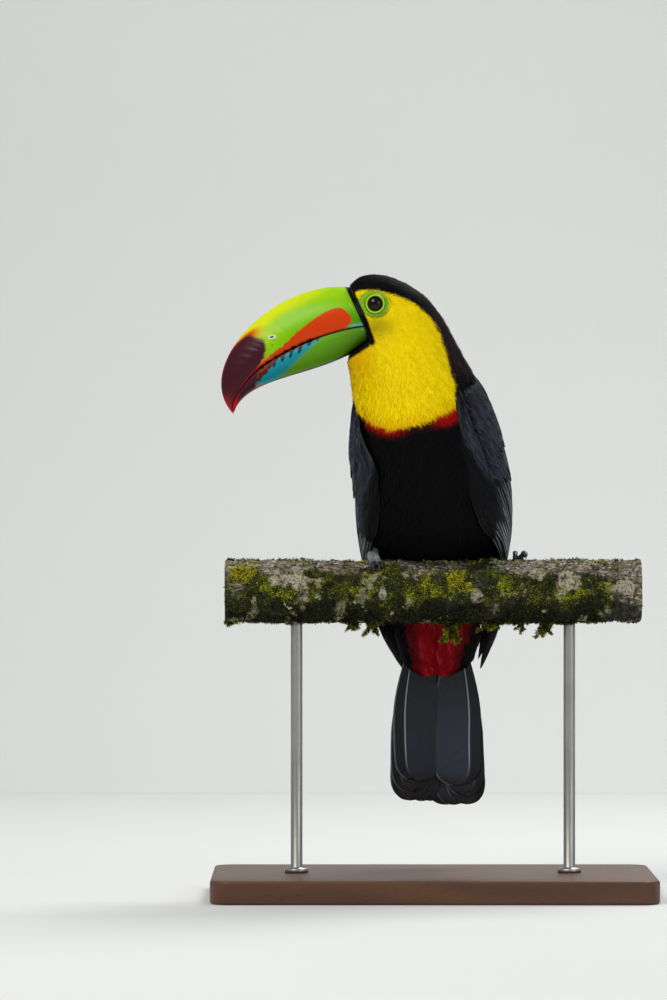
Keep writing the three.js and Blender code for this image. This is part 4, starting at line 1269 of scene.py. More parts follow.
# The tracts of a wing's vanes, the lowest first. A pair holds the values of the first vane, at
# the wing's front, and of the last: the heights of its root and tip, their places across the
# wing, its half width and how far it lies off the surface. Lengths are in millimetres.
QUILLS = [
    {"count": 12, "root_z": (334, 330), "tip_z": (240, 169), "root_s": (0.03, 0.30), "tip_s": (0.02, 0.52),
     "half": (6.0, 6.4), "level": (-1.6, -0.4), "rise": 0.9, "tilt": 0.9, "camber": 0.4, "bow": 0.04,
     "grid": (34, 11), "blunt": 1.4},
    {"count": 13, "root_z": (334, 334), "tip_z": (176, 262), "root_s": (0.32, 0.95), "tip_s": (0.72, 0.96),
     "half": (7.5, 8.5), "level": (-0.4, 1.0), "rise": 0.9, "tilt": 0.7, "camber": 0.5, "bow": -0.03,
     "grid": (30, 11), "blunt": 1.4},
]
COVERTS = [
    {"count": 9, "root_z": (350, 352), "tip_z": (300, 324), "root_s": (0.0, 0.22), "tip_s": (0.02, 0.26),
     "half": (4.0, 5.0), "level": (-0.6, 0.4), "rise": 1.0, "tilt": 0.4, "camber": 0.4, "blunt": 1.6},
    {"count": 3, "root_z": (346, 344), "tip_z": (282, 290), "root_s": (0.005, 0.055), "tip_s": (0.0, 0.05),
     "half": (4.5, 5.0), "level": (0.4, 0.9), "rise": 0.9, "tilt": 0.4, "camber": 0.5, "blunt": 1.6},
    {"count": 17, "root_z": (356, 356), "tip_z": (322, 311), "root_s": (0.18, 0.965), "tip_s": (0.24, 0.955),
     "half": (6.0, 7.0), "level": (0.3, 1.1), "rise": 0.7, "tilt": 0.5, "camber": 0.5, "blunt": 1.8},
    {"count": 24, "root_z": (372, 370), "tip_z": (336, 340), "root_s": (0.13, 0.975), "tip_s": (0.17, 0.97),
     "half": (5.0, 5.6), "level": (0.7, 1.4), "rise": 0.8, "tilt": 0.4, "camber": 0.4, "blunt": 1.7},
]


def tract(row):
    """A tract with its pairs spread over its vanes, and its lengths in metres."""
    k = np.linspace(0, 1, row["count"])
    spread = {"bow": 0.0, "grid": (14, 7), **row}
    for label in ("root_z", "tip_z", "root_s", "tip_s", "half", "level"):
        first, last = row[label]
        spread[label] = first + (last - first) * k
    for label in ("root_z", "tip_z", "half", "level", "rise", "tilt", "camber"):
        spread[label] = spread[label] * MM
    return spread


def small_coverts(rng):
    """The lesser coverts: staggered rows down the wing's top, and far down its front fold."""
    parts = []
    for row, z in enumerate(np.arange(401, 353, -3.6)):
        count = 30
        s = (np.arange(count) + 0.5 * (row % 2) + rng.uniform(-0.25, 0.25, count)) / count
        keep = (s < 0.16) | (z > 362)
        s = s[keep]
        reach = 27 - 6 * ramp(s, 0.10, 0.20) + 6 * ramp(s, 0.5, 0.8)
        parts.append(np.stack([np.full(len(s), z), z - reach * rng.uniform(0.85, 1.1, len(s)), s], axis=-1))
    for row, z in enumerate(np.arange(352, 318, -3.8)):
        s = (np.arange(6) + 0.5 * (row % 2) + rng.uniform(-0.25, 0.25, 6)) / 6 * 0.15
        parts.append(np.stack([np.full(6, z), z - 30 * rng.uniform(0.85, 1.1, 6), s], axis=-1))
    root_z, tip_z, s = np.concatenate(parts).T
    count = len(s)
    return {
        "root_z": root_z * MM, "tip_z": tip_z * MM,
        "root_s": s, "tip_s": s + 0.02 + rng.normal(0, 0.006, count),
        "half": (2.6 + 1.0 * ramp(s, 0.10, 0.22) + 1.4 * ramp(s, 0.5, 0.8)) * MM,
        "level": (0.8 + 0.5 * s) * MM, "rise": 1.1 * MM, "tilt": rng.normal(0.25, 0.12, count) * MM,
        "camber": 0.4 * MM, "bow": 0.0, "grid": (9, 5), "blunt": 1.5}


def wing_backing(surface, inset, thick):
    """A closed sheet inside the feathers, from one face of the wing round to the other."""
    us, vs = np.linspace(0.02, 0.84, 60), np.linspace(0.015, 0.97, 44)
    u, v = np.meshgrid(us, vs, indexing="ij")
    outer = surface.over(u, v, np.full(u.shape, -inset))
    inner = surface.over(u, v, np.full(u.shape, -inset - thick))
    return tube(np.concatenate([outer, inner[:, ::-1]], axis=1))


def vane_finish(name, edge, shaft, gloss, shine):
    """
    Firm feathers: fine barbs slant away from the shaft under bands of painted sheen; a painted
    highlight follows the outer edge and a pale line the shaft. Vane holds the place on the feather,
    Barb the same in metres. edge holds its painted highlight's colour, strength and width, shaft its
    line's colour, strength and place across.
    """
    finish = Finish(name, Roughness=gloss, Specular_IOR_Level=shine)
    edge_colour, edge_strength, edge_width = edge
    shaft_colour, shaft_strength, shaft_place = shaft
    along, across = finish.map("Vane")
    run, side = finish.map("Barb")
    slant = run - abs(side) * 1.3
    barbs = finish.noise(1.0, 3, finish.vector(slant * 1500, side * 90))
    bands = finish.noise(1.0, 2, finish.vector(slant * 240, side * 60))
    uneven = finish.noise(300, 2)
    strength = Value(finish, finish.node("Attribute", {"attribute_name": "Tint"}).outputs["Alpha"])
    # Painted highlight along the outer edge, as strong as the Tint's alpha says.
    rim = across.ramp(edge_width * 1.6, edge_width * 0.5) * along.ramp(0.02, 0.10) * (0.45 + uneven * 0.9)
    rim = rim * strength
    quill = abs(across - shaft_place).ramp(0.020, 0.006) * along.ramp(0.99, 0.8)
    base = finish.blend(barbs.ramp(0.35, 0.7) * 0.30, finish.paint("Tint"), "barb gap")
    base = finish.blend(bands.ramp(0.45, 0.75) * strength * 0.22, base, "barb sheen")
    finish.paint_over(
        base, (along.ramp(0.93, 1.0) * 0.25, "worn barbs"), (rim.at_most(1.0) * edge_strength, edge_colour),
        (quill * shaft_strength, shaft_colour))
    finish.feed("Roughness", gloss + (bands - 0.5) * 0.24 + (barbs - 0.5) * 0.16)
    finish.bump(barbs * 0.6 + bands * 0.5 + quill * 0.8, 0.00022, 0.55)
    return finish.material


# The tail's root, how many degrees it leans back, how far its sides droop, and how much lower
# one side's tips lie than the other's.
TAIL = {"x": 4.2 * MM, "y": 42 * MM, "z": 226 * MM, "lean": 10.4, "droop": 4 * MM, "skew": 1.5 * MM}

# Each pair of tail feathers: how far from the middle its shaft starts, bows and ends, its tip's
# height, and how many vanes deep its two feathers lie, that on the -X side first.
TAIL_PAIRS = {
    "central": (1.5, 4, 5, 67.5, (6, 7)), "second": (3.2, 12, 12, 67.5, (4, 5)),
    "third": (4.8, 21, 21.0, 68, (2, 3)), "fourth": (6.4, 24, 19.6, 75, (1, 1)),
    "outer": (10.0, 19.5, 13.5, 83, (0, 0)),
}

# The half width of a tail feather at its root, by how much it swells, and from where to where.
OUTER_SWELL = (4.5, 14.1, 0.0, 0.66)
INNER_SWELL = (3.5, 12.3, 0.08, 0.70)

SHAFT_PLACE = 0.50       # how far a tail feather's shaft lies from its middle to its outer edge
TAIL_SIZE = np.array([0.155, 0.029])       # a tail feather's length and width, for its barbs
TAIL_PATCH = np.array([0.17, 0.4])         # its length and width on the baking map


def tail_feather(pair, way, rng):
    """
    A tail feather as a thin shell. Its shaft follows a quadratic curve; its half width swells
    down the vane, rounds off at the tip and frays there by random teeth; its face dips from the
    shaft to the edges, and the shaft stands out under it.
    """
    root, bow, tip, tip_z, levels = TAIL_PAIRS[pair]
    level = levels[0 if way < 0 else 1]
    rows, columns = 70, 27
    t = 1 - (1 - np.linspace(0, 1, rows)[:, None]) ** 1.7
    c = np.linspace(-1, 1, columns)[None]
    shaft = (1 - t) ** 2 * root + 2 * t * (1 - t) * bow + t ** 2 * tip
    narrow, wider, low, high = OUTER_SWELL if pair == "outer" else INNER_SWELL
    half = (narrow + wider * ramp(t, low, high)) * (1 - np.maximum(0, (t - 0.86) / 0.14) ** 2.4) ** 0.40
    fray = np.interp(c, np.linspace(-1, 1, 60), rng.uniform(0, 1, 60)) ** 2
    split = ramp(np.abs(c - rng.uniform(-0.7, 0.7)), 0.05, 0.0) * ramp(t, 0.90, 0.99)
    x = way * shaft + c * np.maximum(0.5, half) + (2.0 if way > 0 else 0) * ramp(t, 0.7, 1.0)
    z = TAIL["z"] / MM + (tip_z - way * TAIL["skew"] / MM - TAIL["z"] / MM) * t
    z = z + (1.6 * fray + 2.5 * split) * ramp(t, 0.86, 1.0)
    fall = TAIL["z"] / MM - z
    y = TAIL["y"] / MM + fall * math.tan(math.radians(TAIL["lean"])) - TAIL["droop"] / MM * (x / 36) ** 2
    y = y + 0.9 * level
    place = way * SHAFT_PLACE
    near = (c - place) * half
    ridge = 0.45 * np.exp(-(near / 0.55) ** 2) * ramp(t, 1.0, 0.9)
    camber = 0.55 * (c - place) ** 2 * ramp(t, 0.05, 0.4)
    ripple = 0.10 * np.sin(9 * t + 4 * c + rng.uniform(0, 7))
    front = np.stack([TAIL["x"] / MM + x, y - 0.3 + camber - ridge + ripple, z + 0 * c], axis=-1) * MM
    behind = front + np.array([0, 0.35 * MM, 0]) + np.array([0, 1, 0]) * (2 * ridge * MM)[..., None] * 0.8
    return np.concatenate([front, behind[:, ::-1]], axis=1), t, c


# ------------ Bare skin and eyes ------------

LID_RINGS = 64
LID_STEPS = 144
EYE_SINK = 0.7 * MM      # how much deeper the eye sits than its solid's centre

# The lids about the eye: distances from its axis and half widths, over the radius of the lids'
# opening, and heights over the eye's middle, in millimetres.
LIDS = {
    "height": 5.05, "ring": 0.65, "ring_at": 1.22, "ring_half": 0.12,
    "groove": 0.45, "groove_at": 1.43, "groove_half": 0.07,
    "margin": 1.8, "margin_at": (1.02, 0.90), "end": (1.75, 1.36),
    "folds": 0.04, "folds_at": 1.34, "wrinkles": 0.025, "wrinkles_at": (1.45, 1.6),
}


def face_patch(skin, side, face):
    """
    The bare skin round an eye, in rings about the eye's axis. Its distance out from the eye's
    middle rises over the lids' margin, dips in the groove round them, and then follows the
    head, with fine rings of wrinkles, until it sinks under the feathers at the oval's rim.
    """
    centre = eye_centre(side)
    out = np.sign(centre[1] - HEAD_MIDDLE)
    centre[1] += EYE_SINK * out
    angle = round_angles(LID_STEPS)
    s = np.linspace(0, 1, LID_RINGS)[:, None] ** 1.15
    rim_x, rim_z = 1.06 * BARE["half_length"], 1.06 * BARE["half_height"]
    inner = face.opening * 0.90
    x = centre[0] + (inner + (rim_x - inner) * s) * np.cos(angle) - BARE["shift"] * s
    z = centre[2] + (inner + (rim_z - inner) * s) * np.sin(angle) - BARE["drop"] * s
    u, v = skin.find(x, z, 0.14, 0.75 if out < 0 else 0.25)
    lift = coat_depth(u) * 0.8 * ramp(s, 1.0, 0.72) - 0.9 * MM * ramp(s, 0.84, 1.0)
    base = skin.read(skin.points, u, v) + skin.read(skin.normals, u, v) * lift[..., None]
    rho = np.hypot(x - centre[0], z - centre[2]) / face.opening
    ring = LIDS["ring"] * np.exp(-((rho - LIDS["ring_at"]) / LIDS["ring_half"]) ** 2)
    groove = LIDS["groove"] * np.exp(-((rho - LIDS["groove_at"]) / LIDS["groove_half"]) ** 2)
    lids = (LIDS["height"] + ring - groove) * MM - LIDS["margin"] * MM * ramp(rho, *LIDS["margin_at"])
    near = ramp(rho, *LIDS["end"])
    depth = (base[..., 1] - centre[1]) * out
    depth = depth + (lids - depth) * near
    stray = waves(x, z, 0 * x, 21, 1.6 * MM)
    wrinkles = np.sin(rho * 31 + 2.2 * stray) * ramp(rho, *LIDS["wrinkles_at"]) * ramp(s, 0.98, 0.85)
    folds = np.sin(14 * angle + 3 * stray) * np.exp(-((rho - LIDS["folds_at"]) / LIDS["ring_half"]) ** 2)
    depth = depth + (LIDS["wrinkles"] * wrinkles + LIDS["folds"] * folds) * MM
    points = np.stack([x, centre[1] + out * depth, z], axis=-1)
    faces = grid_faces(LID_RINGS, LID_STEPS, closed=True)
    return points, faces if out < 0 else faces[:, ::-1]


CORNEA = {"swell": 0.05, "angle": 0.62}      # how much of the radius it adds, and how far round


def eyeball(side):
    """A ball whose front swells into the cornea: its radius grows by a bell curve about the axis."""
    centre = eye_centre(side)
    out = np.sign(centre[1] - HEAD_MIDDLE)
    polar = np.linspace(0.0, 1, 60)[:, None] * (math.pi - 0.02) + 0.01
    angle = round_angles(96)
    swell = eye_width(side) / 2 * (1 + CORNEA["swell"] * np.exp(-(polar / CORNEA["angle"]) ** 2))
    x = centre[0] + swell * np.sin(polar) * np.cos(angle)
    z = centre[2] + swell * np.sin(polar) * np.sin(angle)
    y = centre[1] - out * EYE_SINK + out * swell * np.cos(polar) + 0 * angle
    return tube(np.stack([x, y, z], axis=-1))


def skin_mesh(skin, face):
    """The whole skin: the body's tube, close-set on the head, and the bare skin of the face."""
    us = np.concatenate([np.linspace(0, 4 / STEPS, 116)[:-1], np.linspace(4 / STEPS, 1, 110)])
    columns = 256
    body = skin.grid(us, np.arange(columns) / columns)
    u, v = np.meshgrid(us, np.arange(columns) / columns, indexing="ij")
    for side in SIDES:
        inside = ramp(bare_distance(body, side), 1.0, 0.8)
        out = np.sign(eye_centre(side)[1] - HEAD_MIDDLE)
        same = (body[..., 1] - HEAD_MIDDLE) * out > 0
        body[..., 1] -= out * 2.5 * MM * inside * same * (u * STEPS < HEAD_SLICES)
    inside = ramp(within_bill(body), -0.2 * MM, 1.6 * MM)
    body[..., 1] += inside * 0.85 * (HEAD_MIDDLE - body[..., 1])
    first = np.arange(columns)
    ends = [first, ((len(us) - 1) * columns + first)[::-1]]
    parts = [(body, grid_faces(len(us), columns, closed=True)[:, ::-1], ends)]
    parts += [tube(thigh_surface(side).points[::4, ::8]) for side in SIDES]
    parts += [(*face_patch(skin, side, face), []) for side in SIDES]
    return body, u, v, parts


def about_eye(finish, face):
    """x and z, how far they lie from the left eye's middle, and that distance in eye openings."""
    x, _, z = finish.place()
    centre = eye_centre("left")
    east, up = x - float(centre[0]), z - float(centre[2])
    return x, z, east, up, (east * east + up * up) ** 0.5 / face.opening


def bare_finish(face):
    """Bare skin: green round the eye in a yellow rim, the lids brighter, painted shade below the eye, pebbled
    all over.
    """
    finish = Finish("bare_skin", Roughness=0.55, Specular_IOR_Level=0.22)
    x, z, east, up, rho = about_eye(finish, face)
    oval = ((east + BARE["shift"]) / BARE["half_length"]) ** 2
    oval = oval + ((up + BARE["drop"]) / BARE["half_height"]) ** 2
    speckle = finish.noise(700, 3)
    fore = (east + up * 0.5).ramp(-0.0075, -0.0105)
    rim = (oval + speckle * 0.16).ramp(0.78, 1.04) * (1 - fore)
    edge = (ahead_of_base(x, z) + z.ramp(*FADES["base_z"]) * BASE_WIDER).ramp(*FADES["base"])
    behind = (oval + speckle * 0.16).ramp(0.60, 1.0) * (east + up * 1.0).ramp(0.010, 0.018) * 0.7
    # Painted shade below the eye.
    below = (up * -1 + east * 0.2).ramp(0.0045, 0.0105)
    lid = rho.ramp(1.13, 1.18) * rho.ramp(1.34, 1.28)
    groove = rho.ramp(1.33, 1.40) * rho.ramp(1.58, 1.44)
    inner = rho.ramp(1.17, 1.12)
    margin = rho.ramp(1.05, 0.99)
    base = finish.blend(speckle.ramp(0.3, 0.7) * 0.3, face.green, face.lid)
    finish.paint_over(
        base, (rim, face.yellow), (behind, face.orange), (below * 0.7, face.under_eye_shadow),
        (groove * 0.65, "lid groove"), (lid, face.lid), (inner, "inner lid"),
        (margin, "lid margin"), (edge, "base line"))
    pebble = finish.cells(1500)
    finish.bump(pebble * 0.6 + speckle * 0.4, 0.0002, 0.5)
    return finish.material


def eye_finish(face):
    """A wet eye: a black pupil in a very dark brown iris, with fine spokes."""
    finish = Finish("eye", Roughness=0.05, Specular_IOR_Level=0.26)
    _, _, east, up, rho = about_eye(finish, face)
    spokes = finish.noise(18, 2, finish.vector(up.maths("ARCTAN2", east), rho * 0.05))
    iris = finish.blend(spokes.ramp(0.3, 0.7) * 0.5, face.iris, "iris shade")
    finish.paint_over(
        iris, (rho.ramp(0.74, 0.66), "pupil"), (rho.ramp(0.9, 1.0), "eye rim"))
    return finish.material


# ------------ Bill ------------

BILL_HALF_WIDTH = {"base": 17.3 * MM, "tip": 1.2 * MM}
BILL_ALONG = 240
BILL_ACROSS = 46
BILL_RIM = {"out": 0.35 * MM, "t": 0.030, "half": 0.012}     # a low welt round the bill's base
TEETH = {"start": (0.30, 0.42), "end": (0.86, 0.70), "waves": (58, 23, 131)}
EDGE_GAP = 0.12 * MM     # how far each cutting edge keeps from the line between the mandibles


def mandible(ridge, fullness, notch):
    """
    One mandible: from the ridge at s = 0 each side swells as a power of a quarter sine to the
    cutting edge at s = 1, and the half width shrinks along the bill as (1 - t^2.2)^0.8. The
    edge carries teeth by a sharpened wave. Returns the points and the (t, s) of each.
    """
    t = np.linspace(0, 1, BILL_ALONG)
    s = np.linspace(0, 1, BILL_ACROSS)
    edge, top = bezier(TOMIUM, t), bezier(ridge, t)
    up = unit(top - edge)
    teeth = ramp(t, *TEETH["start"]) * ramp(t, *TEETH["end"]) * notch * MM
    coarse, uneven, fine = (t * wave for wave in TEETH["waves"])
    saw = np.abs(np.sin(coarse + 1.8 * np.sin(uneven))) ** 0.6 + 0.35 * np.sin(fine)
    inner = edge - up * 0.5 * MM * notch
    edge = edge + up * (EDGE_GAP + teeth * np.maximum(0, saw - 0.25))[:, None]
    half = BILL_HALF_WIDTH["tip"] + (BILL_HALF_WIDTH["base"] - BILL_HALF_WIDTH["tip"]) * (1 - t ** 2.2) ** 0.8
    swell = np.sin(0.5 * math.pi * np.minimum(1, 0.012 + 1.25 * s)) ** fullness
    tuck = 1 - 0.06 * ramp(s, 0.75, 1) - 0.10 * ramp(s, 0.965, 1.0)
    width = half[:, None] * swell * tuck
    flat = top[:, None] + (edge - top)[:, None] * s[:, None]
    rim = BILL_RIM["out"] * np.exp(-((t - BILL_RIM["t"]) / BILL_RIM["half"]) ** 2)
    width = width + rim[:, None] * swell
    sides = []
    for way in (1, -1):
        sides.append(np.stack([flat[..., 0], HEAD_MIDDLE + way * width, flat[..., 1]], axis=-1))
    middle = np.stack([inner[:, 0], np.full(BILL_ALONG, HEAD_MIDDLE), inner[:, 1]], axis=-1)[:, None]
    points = np.concatenate([sides[0], middle, sides[1][:, ::-1]], axis=1)
    return points, np.stack(np.meshgrid(t, np.concatenate([s, [1.0], s[::-1]]), indexing="ij"), axis=-1)


def horn_places(name):
    """A new finish for horn, with t and s, a cloudy noise, and t and s made to waver by it."""
    finish = Finish(name, Specular_IOR_Level=0.14, Coat_Weight=0.02, Coat_Roughness=0.12)
    t, s = finish.map("Bill")
    cloud = finish.noise(120, 4)
    wobble = (cloud - 0.5) * 0.03
    return finish, t, s, cloud, t + wobble, s + wobble


def horn(finish, settings, colours, height):
    """Gives horn its colour, gloss and bump."""
    finish.feed("Base Color", colours)
    grain = finish.noise(260, 4)
    scratch = finish.noise(60, 4, finish.vector(*[c * f for c, f in zip(finish.map("Bill"), (3.0, 40.0))]))
    finish.feed("Roughness", settings.gloss + (grain - 0.5) * 0.14 + (scratch.ramp(0.62, 0.72)) * 0.06)
    finish.bump(height + scratch * 0.03 + grain * 0.06, 0.00035, 0.5)
    return finish.material


# Two marks of the upper mandible, each an oval in t and s: a ring-shaped scar, and flecks.
SCAR = {"t": 0.482, "s": 0.507, "half_t": 0.0165, "half_s": 0.060}
FLECKS = {"t": 0.52, "s": 0.70, "half_t": 0.06, "half_s": 0.13}


def upper_finish(settings):
    """
    The upper mandible in its own coordinates: t runs from the face to the tip and s from the
    ridge to the cutting edge. Lime flanks turn yellow to the ridge; an orange patch runs down to
    the edge; the maroon tip has a round front and a red ridge; a pale streak starts the edge.
    """
    finish, t, s, cloud, t2, s2 = horn_places("bill_upper")
    yellow = s.ramp(0.34, 0.06) * (t + cloud * 0.2).ramp(0.08, 0.44)
    yellow = yellow + t.ramp(0.36, 0.52) * s.ramp(0.7, 0.2) * 0.45
    green = s.ramp(0.35, 0.95) * t.ramp(0.50, 0.06) + s.ramp(0.45, 0.75) * t.ramp(0.56, 0.40) * 0.35
    top = 0.505 + 0.345 * (((t2 - 0.15) / 0.37).at_least(0.0) ** 1.25).at_most(1.0)
    top = top + 0.17 * (((0.13 - t2) / 0.045).at_least(0.0) ** 3) + (t2 - 0.56).at_least(0.0) * 0.55
    start = 0.084 + 0.07 * (((s2 - 0.62) / 0.33).at_least(0.0) ** 4)
    patch = (s2 - top).ramp(-0.012, 0.014) * (t2 - start).ramp(-0.004, 0.006)
    tip_line = 0.510 + 0.22 * (((s2 - 0.35) / 0.65).at_least(0.0) ** 2)
    tip_line = tip_line + 0.105 * ((1 - s2 / 0.16).at_least(0.0) ** 2)
    tip = (t2 - tip_line).ramp(-0.008, 0.016)
    glow = (t2 - tip_line).ramp(-0.085, 0.0) * s.ramp(0.40, 0.12)
    glow_low = (t2 - tip_line).ramp(-0.05, 0.01) * s.ramp(0.70, 0.85)
    red = tip * (s.ramp(0.06, 0.01) * 0.25 + t.ramp(0.84, 0.97) * s.ramp(0.9, 0.1) * 0.8).at_most(1.0)
    strip = (s2 - 0.93).ramp(-0.01, 0.03) * t.ramp(0.60, 0.70) * t.ramp(0.95, 0.80)
    pale = s.ramp(0.915, 0.94) * t.ramp(0.17, 0.10)
    rust = finish.noise(420, 3).ramp(0.52, 0.62) * s.ramp(0.93, 0.97)
    rust = rust * t.ramp(0.30, 0.42) * t.ramp(0.80, 0.66)
    edge = s.ramp(0.982, 0.994) * t.ramp(0.985, 0.9)
    band = t.ramp(0.022, 0.016)
    nick_t, nick_s = (t - SCAR["t"]) / SCAR["half_t"], (s - SCAR["s"]) / SCAR["half_s"]
    nick = (nick_t * nick_t + nick_s * nick_s) ** 0.5 + (cloud - 0.5) * 0.5
    oval = ((t - FLECKS["t"]) / FLECKS["half_t"]) ** 2 + ((s - FLECKS["s"]) / FLECKS["half_s"]) ** 2
    flecks = finish.cells(330).ramp(0.30, 0.12) * oval.ramp(1.0, 0.5)
    colours = finish.layers(
        settings.lime, (yellow.at_most(1.0), settings.yellow), (green * 0.85, settings.green),
        (glow, settings.orange), (glow_low * 0.8, settings.orange), (patch, settings.orange),
        (flecks * 0.75, "bill fleck"), (tip, settings.maroon), (strip, settings.red), (red, settings.red),
        (pale, settings.pale), (rust * 0.8, "bill rust"), (edge, "cutting edge"),
        (nick.ramp(1.15, 0.95), "scar rim"), (nick.ramp(0.62, 0.45), "scar"),
        (band, settings.black))
    return horn(finish, settings, colours, nick.ramp(1.1, 0.5) * -0.5)


def lower_finish(settings):
    """
    The lower mandible in its own coordinates: s runs from the keel to the cutting edge. Green
    behind and teal before, dark notches hang from the edge, a red line runs down to the maroon
    tip, and black rounds the corner and fades out along the keel.
    """
    finish, t, s, cloud, t2, s2 = horn_places("bill_lower")
    teal_line = 0.345 + 0.24 * ((1 - s2).at_least(0.0) ** 1.1)
    teal = (t2 - teal_line).ramp(-0.035, 0.045)
    dark = t.ramp(0.36, 0.02) * 0.6 + s.ramp(0.5, 0.0) * 0.25
    edge_line = 1.0 - 0.07 * t2.ramp(0.38, 0.46) - 0.58 * t2.ramp(0.54, 0.74)
    red_line = (s2 - edge_line).ramp(-0.02, 0.02) * t.ramp(0.40, 0.50)
    comb = (t * 128 + (cloud - 0.5) * 4).wave()
    hang = 0.12 + 0.17 * t.ramp(0.40, 0.49) * t.ramp(0.66, 0.52) + (finish.noise(90, 1) - 0.5) * 0.18
    below = ((edge_line - s2) / hang).at_least(0.0)
    notch = below.ramp(1.05, 0.75) * (comb - below * 0.45).ramp(0.36, 0.56)
    notch = notch * t.ramp(0.33, 0.37) * t.ramp(0.74, 0.68)
    tip = (t2 + s2 * 0.02).ramp(0.725, 0.75)
    glow = t2.ramp(0.66, 0.735) * s.ramp(0.25, 0.05)
    red = tip * t.ramp(0.86, 0.96)
    corner_t, corner_s = (t - 0.075) / 0.065, (s - 0.34) / 0.30
    corner = corner_t.at_most(0.0) ** 2 + corner_s.at_most(0.0) ** 2
    keel = (s - 0.21 * (1 - t / 0.30).at_least(0.0)).ramp(0.012, -0.012) * t.ramp(0.31, 0.27)
    band = corner.ramp(0.92, 1.06).at_least(keel).at_least(t.ramp(0.012, 0.006))
    lip = s.ramp(0.975, 0.99)
    base = finish.blend(dark, "light keel", "dark keel")
    colours = finish.layers(
        base, (teal, settings.teal), (glow, settings.orange), (notch * 0.88, "notch"),
        (red_line, "red line"), (red_line * finish.noise(500, 2).ramp(0.40, 0.55), "dark red line"),
        (tip, settings.maroon), (red, settings.red), (lip, "lip"), (band, settings.black))
    return horn(finish, settings, colours, notch * -0.3)


# ------------ Feet ------------

# Each foot: where it grips the branch, in degrees from its top to the back, where its toes end
# along the branch, how far they bow out and how high the front and back toes arch, in
# millimetres, and how sharp their backs are.
FEET = {
    "left": {"grip": 42, "front": (63.2, 71.4), "back": (63.0, 69.5), "bow": 0.0, "keel": 0.55,
             "front_rise": (0.6, 1.7, 2.3, 0.7), "back_rise": (0.6, 0.8, 0.5, 0.2)},
    "right": {"grip": 8, "front": (-46.0, -41.4), "back": (-46.0, -38.5), "bow": -2.0, "keel": 0.0,
              "front_rise": (0.5, 0.9, 0.5, 0.2), "back_rise": (0.5, 0.9, 0.5, 0.2)},
}
SCUTES = 10              # scutes along a toe's back
GRIP_REACH = 27          # how far a toe's middle lies from the branch's axis, in millimetres
TOE_RINGS = 100
TOE_ROUND = 26

# A toe's shape in millimetres: its radius, how much of it the taper takes, how much the scutes,
# pads and pebbles stand out, and how many joints it has to half a wave each.
TOE = {"left": 2.3, "right": 3.0, "taper": 0.20, "scutes": 0.40, "pads": 0.28, "pebbles": 0.05, "joints": 2.5}

# A claw's radii at its root and tip, its flatness and the depth of its groove; and a shank's.
CLAW = {"root": 2.05, "tip": 0.22, "flat": 0.20, "groove": 0.18}
SHANK = {"radius": 2.9, "wider": 0.4, "scutes": 9, "step": 0.22}
BRANCH = {"z": 235 * MM, "radius": 23.5 * MM, "half": 160 * MM}     # its axis's height, and sizes


def grip_points(x, degrees, rise):
    """Points over the branch, in millimetres: along it, round it from its top to the back, and out."""
    reach = GRIP_REACH + np.asarray(rise)
    angle = np.radians(degrees)
    z = BRANCH["z"] / MM + reach * np.cos(angle)
    return np.stack(np.broadcast_arrays(np.asarray(x, dtype=float), reach * np.sin(angle), z), axis=-1)


def toe_path(side, end, way):
    """The knots of a toe's middle line and of its claw's."""
    foot = FEET[side]
    joint = LEGS[side]["joint"][0] / MM
    rise = foot["front_rise" if way < 0 else "back_rise"]
    share = np.array([0.25, 0.6, 0.85, 1.0])
    bend = foot["grip"] + way * np.array([10, 21, 34, 47])
    bow = foot["bow"] * np.array([0.6, 1.0, 0.7, 0.0])
    toe = grip_points(joint + (end - joint) * share + bow, bend, rise)
    bend = foot["grip"] + way * np.array([46, 55, 63])
    claw = grip_points([end] * 3, bend, [rise[3] + 0.3, rise[3] + 0.6, -1.1])
    return toe, claw


def toe_part(side, end, way):
    """
    A toe: rings whose radius tapers, swells at each joint, steps from scute to scute on its back
    by a saw wave, stands up there into a keel, and bulges below each joint into a pad.
    """
    knots, _ = toe_path(side, end, way)
    t = np.linspace(0, 1, TOE_RINGS)
    path = along_table(knots, t) * MM
    angle = round_angles(TOE_ROUND)
    joints = np.abs(np.sin(TOE["joints"] * math.pi * t))
    ends = np.sqrt(np.minimum(1, np.minimum(t + 0.02, 1.02 - t) / 0.06))
    radii = TOE[side] * (1 - TOE["taper"] * t) * (0.92 + 0.13 * joints) * ends
    upper = ramp(np.cos(angle), -0.15, 0.35)[None]
    saw = ((t * SCUTES) % 1)[:, None]
    scutes = TOE["scutes"] * (saw - 0.5) * ramp(saw, 1.0, 0.88) * upper
    pads = TOE["pads"] * joints[:, None] * (1 - upper)
    pebbles = TOE["pebbles"] * np.sin(t * 190)[:, None] * np.sin(angle * 9)[None] * (1 - upper)
    keel = 1 + FEET[side]["keel"] * (np.maximum(0, np.cos(angle)) ** 5 - 0.35)[None]
    full = (radii[:, None] * keel + (scutes + pads + pebbles) * ends[:, None]) * MM
    return tube(limb(path, full, TOE_ROUND, (way, 0, 0)))


def claw_part(side, end, way):
    """A claw: a hooked cone, flatter at its sides, with a groove below."""
    _, knots = toe_path(side, end, way)
    t = np.linspace(0, 1, 40)
    path = along_table(knots, t) * MM
    angle = round_angles(20)
    radii = CLAW["root"] + (CLAW["tip"] - CLAW["root"]) * t ** 0.85
    radii = radii[:, None] * (1 - CLAW["flat"] * np.sin(angle) ** 2)[None]
    groove = CLAW["groove"] * np.exp(-((np.abs(angle - math.pi)) / 0.35) ** 2)[None] * (1 - t)[:, None]
    return tube(limb(path, (radii - groove) * MM, 20, (way, 0, 0)))


